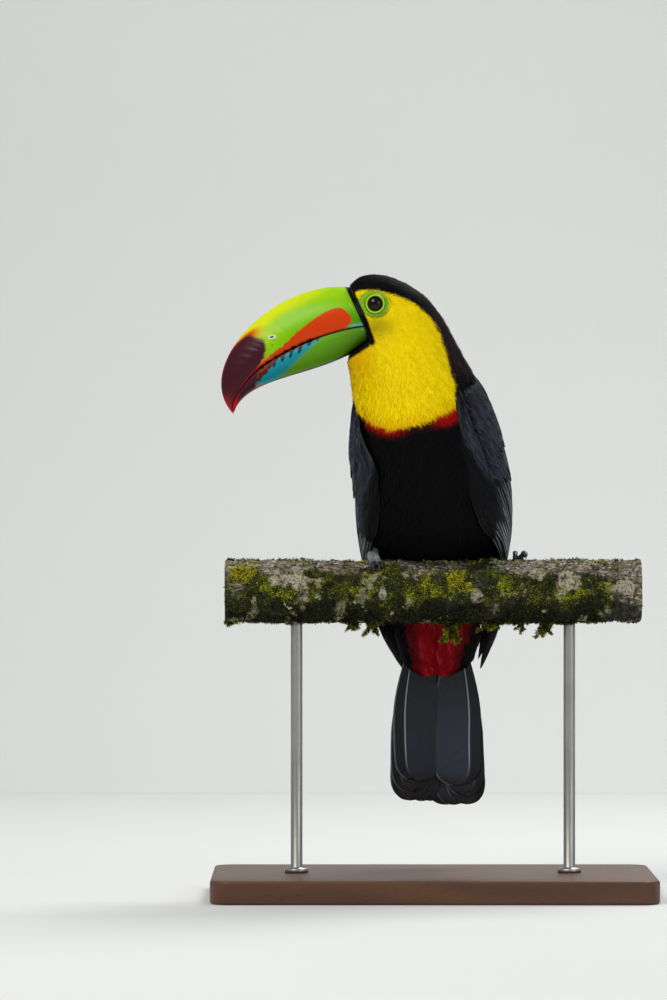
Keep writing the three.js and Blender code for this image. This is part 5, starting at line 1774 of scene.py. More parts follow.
def shank_part(side):
    """The bare shank from the feathered cuff to the foot's joint, with scutes round its front."""
    leg = LEGS[side]
    hip, cuff, joint = (np.array(leg[label]) for label in ("hip", "cuff", "joint"))
    knots = [cuff + 0.3 * (hip - cuff), cuff + 0.3 * (joint - cuff), joint + 0.1 * (joint - cuff)]
    t = np.linspace(0, 1, 60)
    saw = ((t * SHANK["scutes"]) % 1)[:, None]
    angle = round_angles(24)
    ends = np.sqrt(np.minimum(1, (1.01 - t) / 0.12))[:, None]
    scutes = SHANK["step"] * (saw - 0.5) * ramp(saw, 1.0, 0.9)
    radii = (SHANK["radius"] + SHANK["wider"] * t[:, None] + scutes) * ends + 0 * angle
    return tube(limb(along_table(knots, t), radii * MM, 24, (0, 1, 0.2)))


def foot_finish(perch):
    """Scaled skin: blue-grey plates with pale worn edges, darker in the creases."""
    finish = Finish("foot_skin", Roughness=0.5, Specular_IOR_Level=0.4)
    plates = finish.cells(900, feature="DISTANCE_TO_EDGE")
    cloud = finish.noise(260, 3)
    base = finish.blend(cloud.ramp(0.35, 0.7) * 0.6, perch.foot, "blue scute")
    finish.paint_over(
        base, (plates.ramp(0.10, 0.02) * 0.6, "scute crease"), (cloud.ramp(0.55, 0.70) * 0.6, "worn scute"),
        (finish.mark("Dark") * 0.85, "foot shade"))
    finish.bump(plates.ramp(0.0, 0.2) + cloud * 0.4, 0.00025, 0.6)
    return finish.material


def claw_finish(perch):
    """Horn: dark grey with lengthwise streaks."""
    finish = Finish("claw", Roughness=0.34, Specular_IOR_Level=0.45)
    streak = finish.noise(700, 3)
    finish.feed("Base Color", finish.blend(streak.ramp(0.4, 0.7) * 0.5, perch.claw, "claw streak"))
    finish.bump(streak, 0.0001, 0.5)
    return finish.material


# ------------ Branch, moss and stand ------------

# Growths on the branch: x in millimetres, degrees up from the front, and half their length and
# half their angle.
GROWTHS = {
    "golden": [(-143, 35, 16, 22), (17, 24, 12, 18), (25, 8, 6, 12), (10, 150, 18, 26), (95, 200, 14, 30)],
    "green": [(-114, -4, 13, 16), (-127, 15, 14, 20), (-4, 4, 24, 22), (56, 15, 15, 22), (106, -4, 12, 14),
              (-60, -5, 16, 20), (-90, 160, 22, 30), (60, 170, 24, 26)],
    "pale": [(-111, 25, 19, 30), (-40, -4, 5, 18), (35, -10, 8, 20), (81, 32, 10, 20), (103, 20, 13, 22),
             (147, 8, 9, 18), (-20, 160, 22, 24), (130, 150, 16, 30), (-130, 190, 14, 30)],
    "leafy": [(-102, 78, 13, 22), (121, 70, 27, 16), (4, 74, 17, 12), (-146, 76, 8, 10), (-10, 118, 20, 14)],
}

FRINGE = 700             # sprigs along the branch's under edge, where the light catches them
LEAVES = 1300            # lobes of leafy lichen, chosen from LEAF_TRIES places
LEAF_TRIES = 30000
MOSS_LENGTH = (1.5, 3.9)                   # the sprigs' lengths and the blades' widths, in
MOSS_WIDTH = (0.26, 0.52)                  # millimetres, and the lobes' radii
LEAF_RADIUS = (0.8, 2.4)
MOSS_END = 159           # how far from the branch's middle things grow, in millimetres

# Clumps that hang under the branch: x, how far down, and half their width, in millimetres.
HANGING = [
    (-156, 5, 4), (-107, 5, 6), (-63, 9, 2.5), (-47, 13, 4), (14, 18, 7), (44, 10, 5), (66.5, 11, 2),
    (87, 14, 3.5),
]


def branch_round(degrees):
    """How far forward and up an angle round the branch lies on its plain radius, in millimetres."""
    turned = np.radians(degrees)
    return BRANCH["radius"] / MM * np.cos(turned), BRANCH["radius"] / MM * np.sin(turned)


def growth(kind, x, degrees):
    """How much of a growth lies at x and an angle round the branch: ovals with ragged rims."""
    a, b = branch_round(degrees)
    ragged = waves(x, a, b, 41, 4.0) + 0.6 * waves(x, a, b, 42, 1.5)
    amount = np.full(np.broadcast(x, degrees).shape, -0.12)
    for middle, up, half, arc in GROWTHS[kind]:
        away = (degrees - up + 180) % 360 - 180
        amount = np.maximum(amount, 1.0 - np.hypot((x - middle) / half, away / arc))
    return ramp(amount + 0.30 * ragged, 0.02, 0.38)


def branch_fields(x, degrees):
    """The moss, bright moss, pale and leafy lichen, and painted shade on the underside, at places on the
    branch.
    """
    a, b = branch_round(degrees)
    up = np.sin(np.radians(degrees))
    golden, green, pale, leafy = (growth(kind, x, degrees) for kind in GROWTHS)
    patchy = 0.5 + 0.5 * waves(x, a, b, 44, 6.0)
    moss = ramp(up + 0.42 * waves(x, a, b, 45, 7.0), 0.92, 0.50) * (0.35 + 0.65 * patchy)
    moss = moss * ramp(x, 142, 126) + 0.5 * ramp(x, 126, 142) * moss * patchy
    moss = np.maximum(moss, np.maximum(golden, green)) * (1 - 0.95 * pale) * (1 - 0.6 * leafy)
    # Painted shade: darker towards the branch's underside.
    underside_shade = ramp(up + 0.20 * waves(x, a, b, 46, 5.0), -0.10, -0.65)
    return moss, golden, green, pale, leafy, underside_shade


def branch_reach(x, degrees):
    """
    The branch's radius in millimetres: slow sine swellings, wrinkled bark from finer waves that
    run along it, and cushions where moss grows.
    """
    a, b = branch_round(degrees)
    turned = np.radians(degrees)
    slow = np.sin(x * 0.047 + 1) * np.sin(turned * 2 + x * 0.021) + 0.5 * np.sin(x * 0.11 + 3 * turned)
    calm = np.where(np.sin(turned) > 0.6, 0.25, np.minimum(1, np.abs(np.cos(turned)) + 0.3))
    bark = 0.42 * np.abs(waves(0.5 * x, a, b, 51, 2.6)) + 0.22 * np.abs(waves(x, a, b, 52, 1.0))
    bark = bark + 0.30 * waves(x, a, b, 53, 6.0)
    moss, _, _, pale, _, _ = branch_fields(x, degrees)
    cushion = moss * (1.0 + 1.1 * waves(x, a, b, 54, 3.4) + 0.5 * waves(x, a, b, 56, 1.4))
    return 23.1 + 1.1 * slow * calm + 0.9 * bark * (1 - 0.6 * pale) + 0.8 * cushion


def branch_parts():
    """The branch's rings, with the flat cut ends' rings inside them, and their marks."""
    half = BRANCH["half"] / MM
    x = np.linspace(-half, half, 390)
    degrees = np.arange(170) * 360 / 170
    inner = np.linspace(0.97, 0.05, 14)
    along = np.concatenate([np.full(14, -half), x, np.full(14, half)])
    scale = np.concatenate([inner[::-1], np.ones(len(x)), inner])
    x2, degrees2 = np.meshgrid(along, degrees, indexing="ij")
    reach = branch_reach(x2, degrees2)
    chamfer = 0.9 * np.exp(-(half - np.abs(along)) / 0.8)[:, None]
    reach = (reach - chamfer) * scale[:, None]
    turned = np.radians(degrees2)
    out = np.sign(x2) * 0.25 * waves(0 * x2, reach * np.cos(turned), reach * np.sin(turned), 55, 1.2)
    shift = np.where(scale[:, None] < 1, out, 0)
    height = BRANCH["z"] / MM + reach * np.sin(turned)
    points = np.stack([x2 + shift, -reach * np.cos(turned), height], axis=-1)
    moss, _, _, pale, _, underside_shade = branch_fields(x2, degrees2)
    cut = np.broadcast_to((scale < 1).astype(float)[:, None], x2.shape)
    marks = {"Moss": moss, "Pale": pale, "UndersideShade": underside_shade, "Cut": cut}
    return points * MM, {label: value.ravel() for label, value in marks.items()}


def bark_finish(perch):
    """
    Bark: pinkish grey-brown with dark cracks, pale crusts with rims where lichen grows, a dark
    green film where it is mossy, painted shade on the underside, and growth rings on the cut ends.
    """
    finish = Finish("bark", Roughness=0.86, Specular_IOR_Level=0.22)
    x, y, z = finish.place()
    moss, pale, underside_shade, cut = (finish.mark(label) for label in ("Moss", "Pale", "UndersideShade", "Cut"))
    stretched = finish.vector(x * 0.35, y, z)
    grain = finish.noise(420, 5, stretched, 0.65)
    cloud = finish.noise(70, 4)
    fine = finish.noise(1300, 3)
    cracks = finish.cells(260, stretched, "DISTANCE_TO_EDGE").ramp(0.10, 0.02) * grain.ramp(0.35, 0.6)
    algae = finish.noise(125, 5, roughness=0.65)
    flecks = finish.noise(330, 4, roughness=0.6)
    base = finish.layers(
        perch.bark, (cloud.ramp(0.35, 0.65), "warm bark"), (grain.ramp(0.45, 0.75) * 0.6, "pale grain"),
        (algae.ramp(0.46, 0.60) * 0.72, "algae"),
        (flecks.ramp(0.55, 0.63) * algae.ramp(0.60, 0.50) * 0.75, "pale fleck"),
        (flecks.ramp(0.45, 0.38) * 0.80, "dark fleck"), (fine.ramp(0.55, 0.75) * 0.5, "dirt"))
    rings = finish.noise(150, 3)
    crust = (pale + (rings - 0.5) * 0.5).ramp(0.30, 0.55)
    lichen = finish.layers(
        perch.lichen, (fine.ramp(0.4, 0.7) * 0.5, "pale lichen"),
        (rings.ramp(0.50, 0.62) * 0.7, "lichen ring"),
        (finish.noise(480, 4).ramp(0.52, 0.62) * 0.75, "lichen spot"))
    film = (moss + (grain - 0.5) * 0.6).ramp(0.12, 0.55)
    wood = ((y * y + (z - BRANCH["z"]) * (z - BRANCH["z"])) ** 0.5 + (cloud - 0.5) * 0.003) * 900
    ring = wood.wave() * 0.35
    timber = finish.blend(ring + fine * 0.15, "timber", "growth ring")
    # The underside darkens by painted shade.
    finish.paint_over(
        base, (cracks * 0.9, "bark crack"), (crust, lichen), (film * 0.93, perch.dark_moss),
        (underside_shade * (1 - pale * 0.4) * 0.85, "damp bark"), (cut, timber))
    finish.bump(grain * 0.8 + fine * 0.4 - cracks * 0.8 + crust * 0.4, 0.0009, 0.9)
    return finish.material


BLADES = 5


def sprig_grids(roots, normals, length, width, rng):
    """
    Sprigs of moss: blades spread round each normal, leaning out from it by a random angle; a
    blade is a ribbon of three rows that narrows to its tip and curls back by the square of the
    way along it.
    """
    count = len(roots)
    aside = unit(np.cross(normals, rng.normal(size=(count, 3))))
    other = np.cross(normals, aside)
    around = 2 * math.pi * (np.arange(BLADES) + rng.uniform(0, 1, (count, BLADES))) / BLADES
    lean = rng.uniform(0.25, 1.25, (count, BLADES))[..., None]
    spread = np.cos(around)[..., None] * aside[:, None] + np.sin(around)[..., None] * other[:, None]
    way = np.cos(lean) * normals[:, None] + np.sin(lean) * spread
    flat = unit(np.cross(way, normals[:, None] + 0.01))
    s = np.array([0.0, 0.55, 1.0])[:, None]
    reach = (length[:, None] * rng.uniform(0.6, 1.15, (count, BLADES)))[..., None, None]
    middle = way[:, :, None] * reach * s + normals[:, None, None] * reach * (-0.22 * s ** 2)
    half = width[:, None, None, None] * np.array([0.7, 1.0, 0.12])[:, None]
    sides = flat[:, :, None, None] * half[..., None] * np.array([-1.0, 1.0])[:, None]
    return roots[:, None, None, None] + middle[:, :, :, None] + sides


def on_branch(x, degrees, sink):
    """Points on the branch at x and an angle, and their directions outwards."""
    reach = branch_reach(x, degrees) - sink
    turned = np.radians(degrees)
    out = np.stack([0 * x, -np.cos(turned), np.sin(turned)], axis=-1)
    return np.stack([x, 0 * x, 0 * x + BRANCH["z"] / MM], axis=-1) + out * reach[:, None], out


def moss_seeds(count, rng):
    """Places of sprigs on the branch, kept where moss grows, and down its hanging clumps."""
    x, degrees = rng.uniform(-MOSS_END, MOSS_END, 4 * count), rng.uniform(-180, 180, 4 * count)
    moss = branch_fields(x, degrees)[0]
    keep = np.flatnonzero(rng.uniform(0, 1, 4 * count) < 0.10 + 0.90 * moss)[:count]
    x, degrees = x[keep], degrees[keep]
    roots, normals = on_branch(x, degrees, 0.4)
    _, golden, green, _, _, underside_shade = branch_fields(x, degrees)
    patchy = ramp(waves(roots[:, 0], roots[:, 1], roots[:, 2], 47, 2.4), -0.1, 0.7)
    # Sprigs are duller in the painted shade of the underside.
    bright = np.clip(0.42 * patchy + golden * 0.8 + green * (0.3 + 0.5 * patchy), 0, 1) * (1 - 0.8 * underside_shade)
    parts = [(roots, normals, bright, golden, underside_shade)]
    for middle, depth, half in HANGING:
        strings = max(2, round(2.4 * half))
        for place in rng.uniform(-1, 1, strings):
            length = depth * (1 - 0.6 * place ** 2) * rng.uniform(0.55, 1.0)
            number = int(4.5 * length + 3)
            down = np.linspace(0, 1, number)
            sway = np.cumsum(rng.normal(0, 0.55, (number, 2)), axis=0) * down[:, None] ** 0.5
            hung = middle + half * place * (1 - 0.4 * down) + sway[:, 0]
            offset = np.stack([hung, sway[:, 1] - 2, -down * length - 22.3], axis=-1)
            out = unit(rng.normal(0, 1, (number, 3)) + [0, 0, -0.4])
            # Painted light: a hanging clump is brighter towards its lower end and its outer strings, and in
            # painted shade near the branch above it.
            glow = (0.05 + 0.75 * np.maximum(down, np.abs(place)) ** 3) * rng.uniform(0.2, 1, number)
            parts.append((offset + [0, 0, BRANCH["z"] / MM], out, glow, 0.5 * glow, 0.4 - 0.4 * down))
    x, degrees = rng.uniform(-150, 150, FRINGE), rng.uniform(-101, -76, FRINGE)
    keep = waves(x, 0 * x, 0 * x, 48, 9.0) > -0.1
    roots, normals = on_branch(x[keep], degrees[keep], 0.6)
    glow = rng.uniform(0.2, 1.0, len(roots))
    parts.append((roots, normals, glow, 0.6 * glow, 0 * glow))
    return [np.concatenate(column) for column in zip(*parts)]


def moss_finish():
    """Moss: the tint of each blade, a little varied."""
    finish = Finish("moss", Roughness=0.7, Specular_IOR_Level=0.25)
    finish.feed("Base Color", finish.blend(
        finish.noise(1200, 2).ramp(0.4, 0.7) * 0.25, finish.paint("Tint"), "moss shade"))
    return finish.material


def leaf_grids(roots, normals, radius, rng):
    """Leafy lichen: ragged lobes, each a disc sector that curls up towards its rim."""
    count = len(roots)
    aside = unit(np.cross(normals, rng.normal(size=(count, 3))))
    other = np.cross(normals, aside)
    r, f = np.linspace(0.05, 1, 4)[:, None], np.linspace(-1, 1, 7)[None]
    ragged = 1 + 0.25 * np.sin(f * 7 + rng.uniform(0, 7, (count, 1, 1))) * r
    span = rng.uniform(0.7, 1.3, (count, 1, 1))
    reach = radius[:, None, None] * r * ragged
    x, y = reach * np.cos(f * span), reach * np.sin(f * span)
    rise = radius[:, None, None] * (0.15 + 0.55 * r ** 2 * rng.uniform(0.3, 1.2, (count, 1, 1)))
    return (roots[:, None, None] + x[..., None] * aside[:, None, None] + y[..., None] * other[:, None, None]
            + rise[..., None] * normals[:, None, None])


BOARD = {"width": 0.34, "depth": 0.20, "thickness": 18 * MM, "corner": 16 * MM, "bevel": 2.2 * MM}


def board(width, depth, thickness, corner, bevel):
    """
    A board with round corners and edges: each ring is the rounded rectangle, drawn in by the
    bevel's quarter circle at the top and bottom, and then in to the middle.
    """
    angle = round_angles(240) + math.pi / 240
    quarter = np.linspace(0, math.pi / 2, 7)
    inset = np.concatenate([bevel * (1 - np.sin(quarter)), bevel * (1 - np.cos(quarter))])
    height = np.concatenate([bevel * (1 - np.cos(quarter)), thickness - bevel * (1 - np.sin(quarter))])
    x0, y0 = width / 2 - corner, depth / 2 - corner
    way = np.stack([np.cos(angle), np.sin(angle)], axis=-1)
    middle = np.sign(way) * [x0, y0]
    ring = middle[None] + way[None] * (corner - inset)[:, None, None]
    lower = np.stack([ring[0] * k for k in (0.02, 0.7)])
    upper = np.stack([ring[-1] * k for k in (0.7, 0.02)])
    rings = np.concatenate([lower, ring, upper])
    heights = np.concatenate([[0, 0], height, [thickness] * 2])
    levels = np.broadcast_to(heights[:, None, None], (*rings.shape[:2], 1))
    return tube(np.concatenate([rings, levels], axis=-1))


# The rods: how far they stand from the middle, and the radii and heights of their outline, a foot
# on the board and a shank up into the branch.
ROD_X = 0.105
ROD_PROFILE = np.array([
    (9.0, 18.05), (9.0, 20.6), (8.4, 21.4), (5.2, 21.9), (4.5, 22.8), (4.5, 120), (4.5, 207), (4.5, 222),
]) * MM


def turned_rod(x, profile):
    """A rod turned about an upright line at x: each pair of the profile is a radius and a height."""
    radius, height = np.array(profile).T
    angle = round_angles(48)
    across, along = radius[:, None] * np.cos(angle), radius[:, None] * np.sin(angle)
    return tube(np.stack([across + x, along, height[:, None] + 0 * angle], axis=-1))


def wood_finish(perch):
    """Oiled wood: grain drawn along the board, with pores and a soft gloss."""
    finish = Finish(
        "stand_wood", Roughness=0.42, Specular_IOR_Level=0.35, Coat_Weight=0.12, Coat_Roughness=0.2)
    x, y, z = finish.place()
    warp = finish.noise(7, 3, finish.vector(x * 0.4, y, z))
    veins = ((y + z * 0.4 + warp * 0.06 + x * 0.02) * 420).wave()
    pores = finish.noise(1.0, 3, finish.vector(x * 90, y * 1500, z * 1500))
    base = finish.blend(veins * 0.55, perch.wood, "wood vein")
    finish.feed("Base Color", finish.blend(pores.ramp(0.58, 0.70) * 0.7, base, "wood pore"))
    finish.feed("Roughness", 0.40 + pores * 0.18 + warp * 0.06)
    finish.bump(pores * -0.6 + veins * 0.25, 0.0002, 0.5)
    return finish.material


def metal_finish(perch):
    """Brushed steel: fine rings round the rods and faint smudges."""
    finish = Finish("stand_metal", Metallic=1.0, Roughness=0.34)
    x, y, z = finish.place()
    brushed = finish.noise(1.0, 3, finish.vector(x * 40, y * 40, z * 5200))
    smudge = finish.noise(55, 3)
    finish.feed("Base Color", finish.blend(smudge.ramp(0.4, 0.7) * 0.25, perch.metal, "metal smudge"))
    finish.feed("Roughness", 0.26 + brushed * 0.14 + smudge * 0.12)
    finish.bump(brushed, 0.00004, 0.5)
    return finish.material


# ------------ Operators ------------

class TOUCAN_OT_skin(bpy.types.Operator):
    """Make one skin in place of the head, neck and trunk, with the bare skin of the face"""
    bl_idname = "toucan.skin"
    bl_label = "Skin"

    def execute(self, context):
        settings = context.scene.toucan
        skin = body_surface()
        body, u, v, parts = skin_mesh(skin, settings.face)
        shape = joined(parts)
        tint = np.broadcast_to(np.array(settings.plumage.black), shape[0].shape).copy()
        tint[:body.size // 3] = markings(body, u, v, settings.plumage).reshape(-1, 3)
        piece = make_piece(
            "skin", shape, plumage_finish(),
            ("head", "neck", "trunk", "thigh_left", "thigh_right"), {"Tint": with_alpha(tint)})
        piece.data.materials.append(bare_finish(settings.face))
        feathered = sum(len(faces) for _, faces, _ in parts[:-len(SIDES)])
        slots = np.zeros(len(piece.data.polygons), dtype=np.int32)
        slots[feathered:len(shape[1])] = 1
        piece.data.polygons.foreach_set("material_index", slots)
        return {"FINISHED"}


class TOUCAN_OT_coat(bpy.types.Operator):
    """Cover the skin with tufts of feathers"""
    bl_idname = "toucan.coat"
    bl_label = "Coat"

    def execute(self, context):
        coat_pieces(body_surface(), context.scene.toucan.plumage, plumage_finish())
        return {"FINISHED"}


class TOUCAN_OT_eyes(bpy.types.Operator):
    """Make the eyes"""
    bl_idname = "toucan.eyes"
    bl_label = "Eyes"

    def execute(self, context):
        finish = eye_finish(context.scene.toucan.face)
        for side in SIDES:
            make_piece(f"eyeball_{side}", eyeball(side), finish, [f"eye_{side}"])
        return {"FINISHED"}


class TOUCAN_OT_bill(bpy.types.Operator):
    """Make the two mandibles"""
    bl_idname = "toucan.bill"
    bl_label = "Bill"

    def execute(self, context):
        settings = context.scene.toucan.bill
        upper, lower = upper_finish(settings), lower_finish(settings)
        kinds = [("upper", CULMEN, 0.75, 1.0, upper), ("lower", GONYS, 0.6, 0.5, lower)]
        for label, ridge, fullness, notch, finish in kinds:
            points, place = mandible(ridge, fullness, notch)
            make_piece(
                f"mandible_{label}", tube(points), finish, [f"bill_{label}"], maps={"Bill": place})
        return {"FINISHED"}


class TOUCAN_OT_wings(bpy.types.Operator):
    """Lay the wings' quills and coverts"""
    bl_idname = "toucan.wings"
    bl_label = "Wings"

    def execute(self, context):
        plumage = context.scene.toucan.plumage
        edge = plumage.quill_highlight
        quill = vane_finish("quills", (edge, 0.85, 0.08), ("quill shaft", 0.5, 0.34), 0.42, 0.12)
        covert = vane_finish("coverts", (edge, 0.10, 0.09), ("covert shaft", 0.4, 0.5), 0.50, 0.08)
        for side in SIDES:
            surface = wing_surface(side)
            rng = np.random.default_rng(31 + SIDES[side])
            long_feathers, short_feathers = Feathers(), Feathers()
            for row in QUILLS:
                lay_vanes(long_feathers, surface, tract(row), plumage, rng, QUILL_PATCH)
            for row in [*[tract(row) for row in COVERTS], small_coverts(rng)]:
                lay_vanes(short_feathers, surface, row, plumage, rng, PATCH)
            wing = "wing_" + side
            long_feathers.piece(
                f"quills_{side}", quill, "wing_quills", [wing + "_primaries", wing + "_secondaries"])
            short_feathers.piece(f"coverts_{side}", covert, "wing_quills", [wing + "_coverts"])
            shape = wing_backing(surface, 1.9 * MM, 1.0 * MM)
            dark = with_alpha(np.full(shape[0].shape, 0.004))
            make_piece(f"wing_lining_{side}", shape, plumage_finish(), marks={"Tint": dark})
        return {"FINISHED"}


class TOUCAN_OT_tail(bpy.types.Operator):
    """Make the ten tail feathers"""
    bl_idname = "toucan.tail"
    bl_label = "Tail"

    def execute(self, context):
        plumage = context.scene.toucan.plumage
        rng = np.random.default_rng(71)
        for side, way in SIDES.items():
            place = 0.5 + 0.5 * SHAFT_PLACE * way
            finish = vane_finish(
                f"tail_{side}", (plumage.quill_highlight, 0.32, 0.03), ("tail shaft", 0.85, place), 0.40, 0.22)
            for step, pair in enumerate(TAIL_PAIRS):
                points, t, c = tail_feather(pair, way, rng)
                tint = np.array(plumage.tail) * rng.uniform(0.85, 1.05)
                outer_vane = ramp(c * way, SHAFT_PLACE + 0.02, SHAFT_PLACE + 0.10)
                sheen = (0.45 + 1.3 * ramp(t, 0.25, 0.8) * ramp(t, 1.0, 0.92)) * (1.45 if way > 0 else 0.85)
                lit = (1 - 0.62 * outer_vane) * sheen * (1 if pair == "outer" else 0.7)
                shade = np.concatenate([lit, lit[:, ::-1] * 0.4], axis=1)[..., None] * tint
                vane = np.stack(np.broadcast_arrays(t, c * 0.5 + 0.5), axis=-1)
                vane = np.concatenate([vane, vane[:, ::-1]], axis=1)
                cell = np.array([0.1 + 0.19 * step, 0.25 if way < 0 else 0.75])
                make_piece(
                    f"rectrix_{side}_{pair}", tube(points), finish, [f"tail_{side}_{pair}"],
                    marks={"Tint": with_alpha(shade)}, maps={
                        "Vane": vane, "Barb": (vane - [0, place]) * TAIL_SIZE,
                        "OFBake": cell + (vane - 0.5) * TAIL_PATCH})
        return {"FINISHED"}


class TOUCAN_OT_feet(bpy.types.Operator):
    """Make the feet: shanks, toes and claws"""
    bl_idname = "toucan.feet"
    bl_label = "Feet"

    def execute(self, context):
        perch = context.scene.toucan.perch
        skin, nail = foot_finish(perch), claw_finish(perch)
        along = np.repeat(np.linspace(0, 1, TOE_RINGS), TOE_ROUND)
        crease = 0.9 * ramp((along * SCUTES) % 1, 0.52, 0.86)
        nearer = {"left": ramp(along, 0.35, 0.62), "right": 0.6 * ramp(along, 0.80, 1.0)}
        dark = {side: np.maximum(crease, shade) for side, shade in nearer.items()}
        for side in SIDES:
            make_piece(f"shank_skin_{side}", shank_part(side), skin, [f"shank_{side}"])
            for label, way in (("front", -1), ("back", 1)):
                for order, end in zip(("first", "second"), FEET[side][label]):
                    toe = f"{side}_{label}_{order}"
                    make_piece(
                        "digit_" + toe, toe_part(side, end, way), skin, ["toe_" + toe],
                        marks={"Dark": dark[side]})
                    make_piece("nail_" + toe, claw_part(side, end, way), nail, ["claw_" + toe])
        return {"FINISHED"}


class TOUCAN_OT_branch(bpy.types.Operator):
    """Make the cut branch with its moss and lichen"""
    bl_idname = "toucan.branch"
    bl_label = "Branch"

    def execute(self, context):
        perch = context.scene.toucan.perch
        points, marks = branch_parts()
        make_piece("branch", tube(points), bark_finish(perch), ["perch"], marks)
        rng = np.random.default_rng(61)
        roots, normals, bright, golden, underside_shade = moss_seeds(perch.sprigs, rng)
        count = len(roots)
        grids = sprig_grids(
            roots * MM, unit(normals + rng.normal(0, 0.3, (count, 3))),
            rng.uniform(*MOSS_LENGTH, count) * MM, rng.uniform(*MOSS_WIDTH, count) * MM, rng)
        dark, moss, gold = (np.array(c) for c in (perch.dark_moss, perch.moss, rgb(206, 176, 12)))
        lively = np.clip(bright + rng.normal(0, 0.22, count), 0, 1)[:, None]
        colours = dark + (moss - dark) * lively
        colours = colours + (gold - colours) * np.clip(golden * rng.uniform(0, 1, count), 0, 1)[:, None] * 0.8
        # Painted shade darkens the sprigs on the underside.
        colours = colours * rng.uniform(0.5, 1.4, (count, 1)) * (1 - 0.65 * underside_shade)[:, None]
        # Painted shade and light: each blade darker at its root, deep in the moss, and lighter at its tip.
        tip = np.array([0.25, 0.9, 1.6])[:, None, None]
        shade = rng.uniform(0.7, 1.25, (count, BLADES, 1, 1, 1))
        tints = np.broadcast_to(colours[:, None, None, None] * shade * tip, grids.shape)
        face = grid_faces(3, 2)
        finish = moss_finish()
        for label, part in zip(("a", "b", "c"), np.array_split(np.arange(count), 3)):
            faces = many_faces(face, 6, len(part) * BLADES)
            shape = (grids[part], faces, ())
            make_piece(f"moss_{label}", shape, finish, marks={"Tint": with_alpha(tints[part])})
        x, degrees = rng.uniform(-MOSS_END, MOSS_END, LEAF_TRIES), rng.uniform(-180, 180, LEAF_TRIES)
        keep = np.flatnonzero(rng.uniform(0, 1, LEAF_TRIES) < growth("leafy", x, degrees))[:LEAVES]
        roots, normals = on_branch(x[keep], degrees[keep], 0.2)
        radius = rng.uniform(*LEAF_RADIUS, len(keep)) * MM
        leaves = leaf_grids(roots * MM, unit(normals + rng.normal(0, 0.3, (len(keep), 3))), radius, rng)
        pale = np.array(perch.lichen) * rng.uniform(0.5, 1.5, (len(keep), 1)) * [0.95, 1.06, 0.80]
        rim = np.linspace(0.45, 1.2, 4)[:, None, None]
        tints = np.broadcast_to(pale[:, None, None] * rim, leaves.shape)
        faces = many_faces(grid_faces(4, 7), 28, len(keep))
        make_piece("leafy_lichen", (leaves, faces, ()), finish, marks={"Tint": with_alpha(tints)})
        return {"FINISHED"}


class TOUCAN_OT_stand(bpy.types.Operator):
    """Make the stand's base and rods"""
    bl_idname = "toucan.stand"
    bl_label = "Stand"

    def execute(self, context):
        perch = context.scene.toucan.perch
        make_piece("board", board(**BOARD), wood_finish(perch), ["stand_base"])
        finish = metal_finish(perch)
        for side, way in SIDES.items():
            shape = turned_rod(way * ROD_X, ROD_PROFILE)
            make_piece(f"rod_{side}", shape, finish, [f"stand_rod_{side}"])
        return {"FINISHED"}


class TOUCAN_OT_stage(bpy.types.Operator):
    """Make the floor, the lights and the camera"""
    bl_idname = "toucan.stage"
    bl_label = "Stage"

    def execute(self, context):
        stage = context.scene.toucan.stage
        make_floor(stage)
        make_lights(stage)
        make_camera(stage)
        return {"FINISHED"}


AIM = (-0.0766, 0.3049)      # the x and z that the camera looks at, level
FLOOR_HALF = 22.0            # half the floor's length and width
SHEET = {"back": 1.5, "radius": 0.7, "height": 4.0, "sides": (-1.1, 0.95)}


def make_floor(stage):
    """
    A broad pale floor, and a narrow sheet behind the object that leaves it along a quarter circle
    and stands up, so that only the view from the front looks at the sheet.
    """
    finish = Finish("floor", Roughness=0.8, Specular_IOR_Level=0.2)
    finish.feed("Base Color", finish.blend(finish.noise(3, 2) * 0.10, stage.floor, "floor cloud"))
    radius, back, height = SHEET["radius"], SHEET["back"], SHEET["height"]
    bend = np.linspace(0, math.pi / 2, 24)
    rising = (back + radius * np.sin(bend), 0.1 * MM + radius * (1 - np.cos(bend)))
    sheet = np.stack([np.append(rising[0], back + radius), np.append(rising[1], height)], axis=-1)
    ends = (-FLOOR_HALF, FLOOR_HALF)
    flat = np.array([[end, 0.0] for end in ends])
    for name, line, sides in (("floor", flat, ends), ("backdrop", sheet, SHEET["sides"])):
        points = np.stack([np.insert(line, 0, x, axis=1) for x in sides], axis=1)
        mesh = bpy.data.meshes.new(name)
        mesh.from_pydata(points.reshape(-1, 3).tolist(), [], grid_faces(len(line), 2).tolist())
        mesh.polygons.foreach_set("use_smooth", [True] * len(mesh.polygons))
        mesh.materials.append(finish.material)
        floor = bpy.data.objects.new(name, mesh)
        bpy.context.scene.collection.objects.link(floor)


# Each lamp: its place, its width, its strength as a part of the main light's, and its tint.
LAMPS = [
    ("main_light", (-1.3, -1.7, 2.3), 1.5, 1.0, (1.0, 0.98, 0.95)),
    ("fill_light", (2.2, -2.0, 1.2), 2.0, 0.35, (0.93, 0.96, 1.0)),
    ("back_light", (0.7, 1.0, 1.9), 1.0, 0.55, (1.0, 1.0, 1.0)),
]
LIT_POINT = np.array([0.0, 0.0, 0.33])
SKY = {"colour": (0.80, 0.86, 0.95, 1), "strength": 0.42}


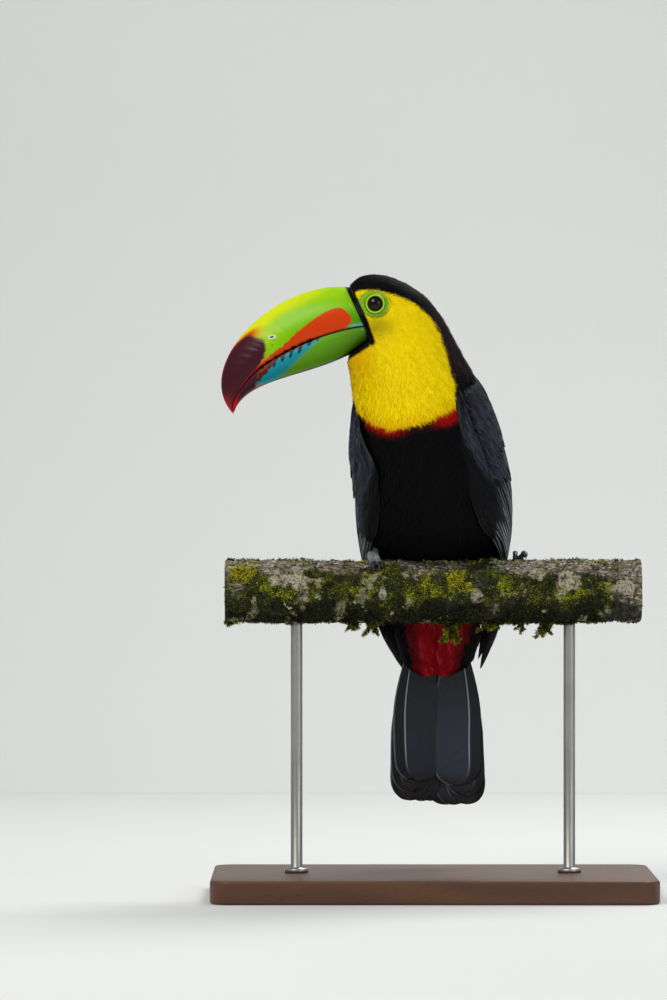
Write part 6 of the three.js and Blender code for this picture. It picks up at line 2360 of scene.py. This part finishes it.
def make_lights(stage):
    """A broad main light high on the left, a fill on the right, a back light and a soft sky."""
    for name, place, width, part, tint in LAMPS:
        lamp = bpy.data.lights.new(name, "AREA")
        lamp.shape = "DISK"
        lamp.size = width
        lamp.energy = stage.light * part
        lamp.color = tint
        holder = bpy.data.objects.new(name, lamp)
        holder.location = place
        holder.rotation_mode = "QUATERNION"
        holder.rotation_quaternion = Vector(LIT_POINT - np.array(place)).to_track_quat("-Z", "Y")
        bpy.context.scene.collection.objects.link(holder)
    world = bpy.data.worlds.new("soft_sky")
    world.use_nodes = True
    background = world.node_tree.nodes["Background"]
    background.inputs[0].default_value = SKY["colour"]
    background.inputs[1].default_value = SKY["strength"]
    bpy.context.scene.world = world
    bpy.context.scene.view_settings.view_transform = "Standard"


def make_camera(stage):
    """A camera level with the perched bird, straight before it."""
    camera = bpy.data.cameras.new("camera")
    camera.lens = stage.lens
    camera.sensor_fit = "VERTICAL"
    camera.sensor_height = 36
    camera.clip_start, camera.clip_end = 0.1, 50
    holder = bpy.data.objects.new("camera", camera)
    holder.location = (AIM[0], -stage.distance, AIM[1])
    holder.rotation_euler = (math.pi / 2, 0, 0)
    bpy.context.scene.collection.objects.link(holder)
    bpy.context.scene.camera = holder


class ToucanSettings(bpy.types.PropertyGroup):
    """All that a user may change"""

    plumage: PointerProperty(type=PlumageSettings)
    face: PointerProperty(type=FaceSettings)
    bill: PointerProperty(type=BillSettings)
    perch: PointerProperty(type=PerchSettings)
    stage: PointerProperty(type=StageSettings)


OPERATORS = [
    TOUCAN_OT_skin, TOUCAN_OT_coat, TOUCAN_OT_wings, TOUCAN_OT_tail, TOUCAN_OT_eyes, TOUCAN_OT_bill,
    TOUCAN_OT_feet, TOUCAN_OT_branch, TOUCAN_OT_stand, TOUCAN_OT_stage,
]


class TOUCAN_PT_panel(bpy.types.Panel):
    """Lists the settings and the operators"""
    bl_idname = "TOUCAN_PT_panel"
    bl_label = "Keel-billed toucan"
    bl_space_type = "VIEW_3D"
    bl_region_type = "UI"
    bl_category = "Toucan"

    def draw(self, context):
        settings = context.scene.toucan
        for group in (settings.plumage, settings.face, settings.bill, settings.perch, settings.stage):
            box = self.layout.box()
            box.label(text=group.bl_rna.name)
            for label in group.__annotations__:
                box.prop(group, label)
        for operator in OPERATORS:
            self.layout.operator(operator.bl_idname)


GROUPS = [PlumageSettings, FaceSettings, BillSettings, PerchSettings, StageSettings, ToucanSettings]


def register():
    """Adds the classes and the scene's settings."""
    for cls in [*GROUPS, *OPERATORS, TOUCAN_PT_panel]:
        bpy.utils.register_class(cls)
    bpy.types.Scene.toucan = PointerProperty(type=ToucanSettings)


def unregister():
    """Takes them away again."""
    del bpy.types.Scene.toucan
    for cls in reversed([*GROUPS, *OPERATORS, TOUCAN_PT_panel]):
        bpy.utils.unregister_class(cls)


def main():
    """Calls every operator in order."""
    register()
    for operator in OPERATORS:
        group, name = operator.bl_idname.split(".")
        getattr(getattr(bpy.ops, group), name)()


if __name__ == "__main__":
    main()
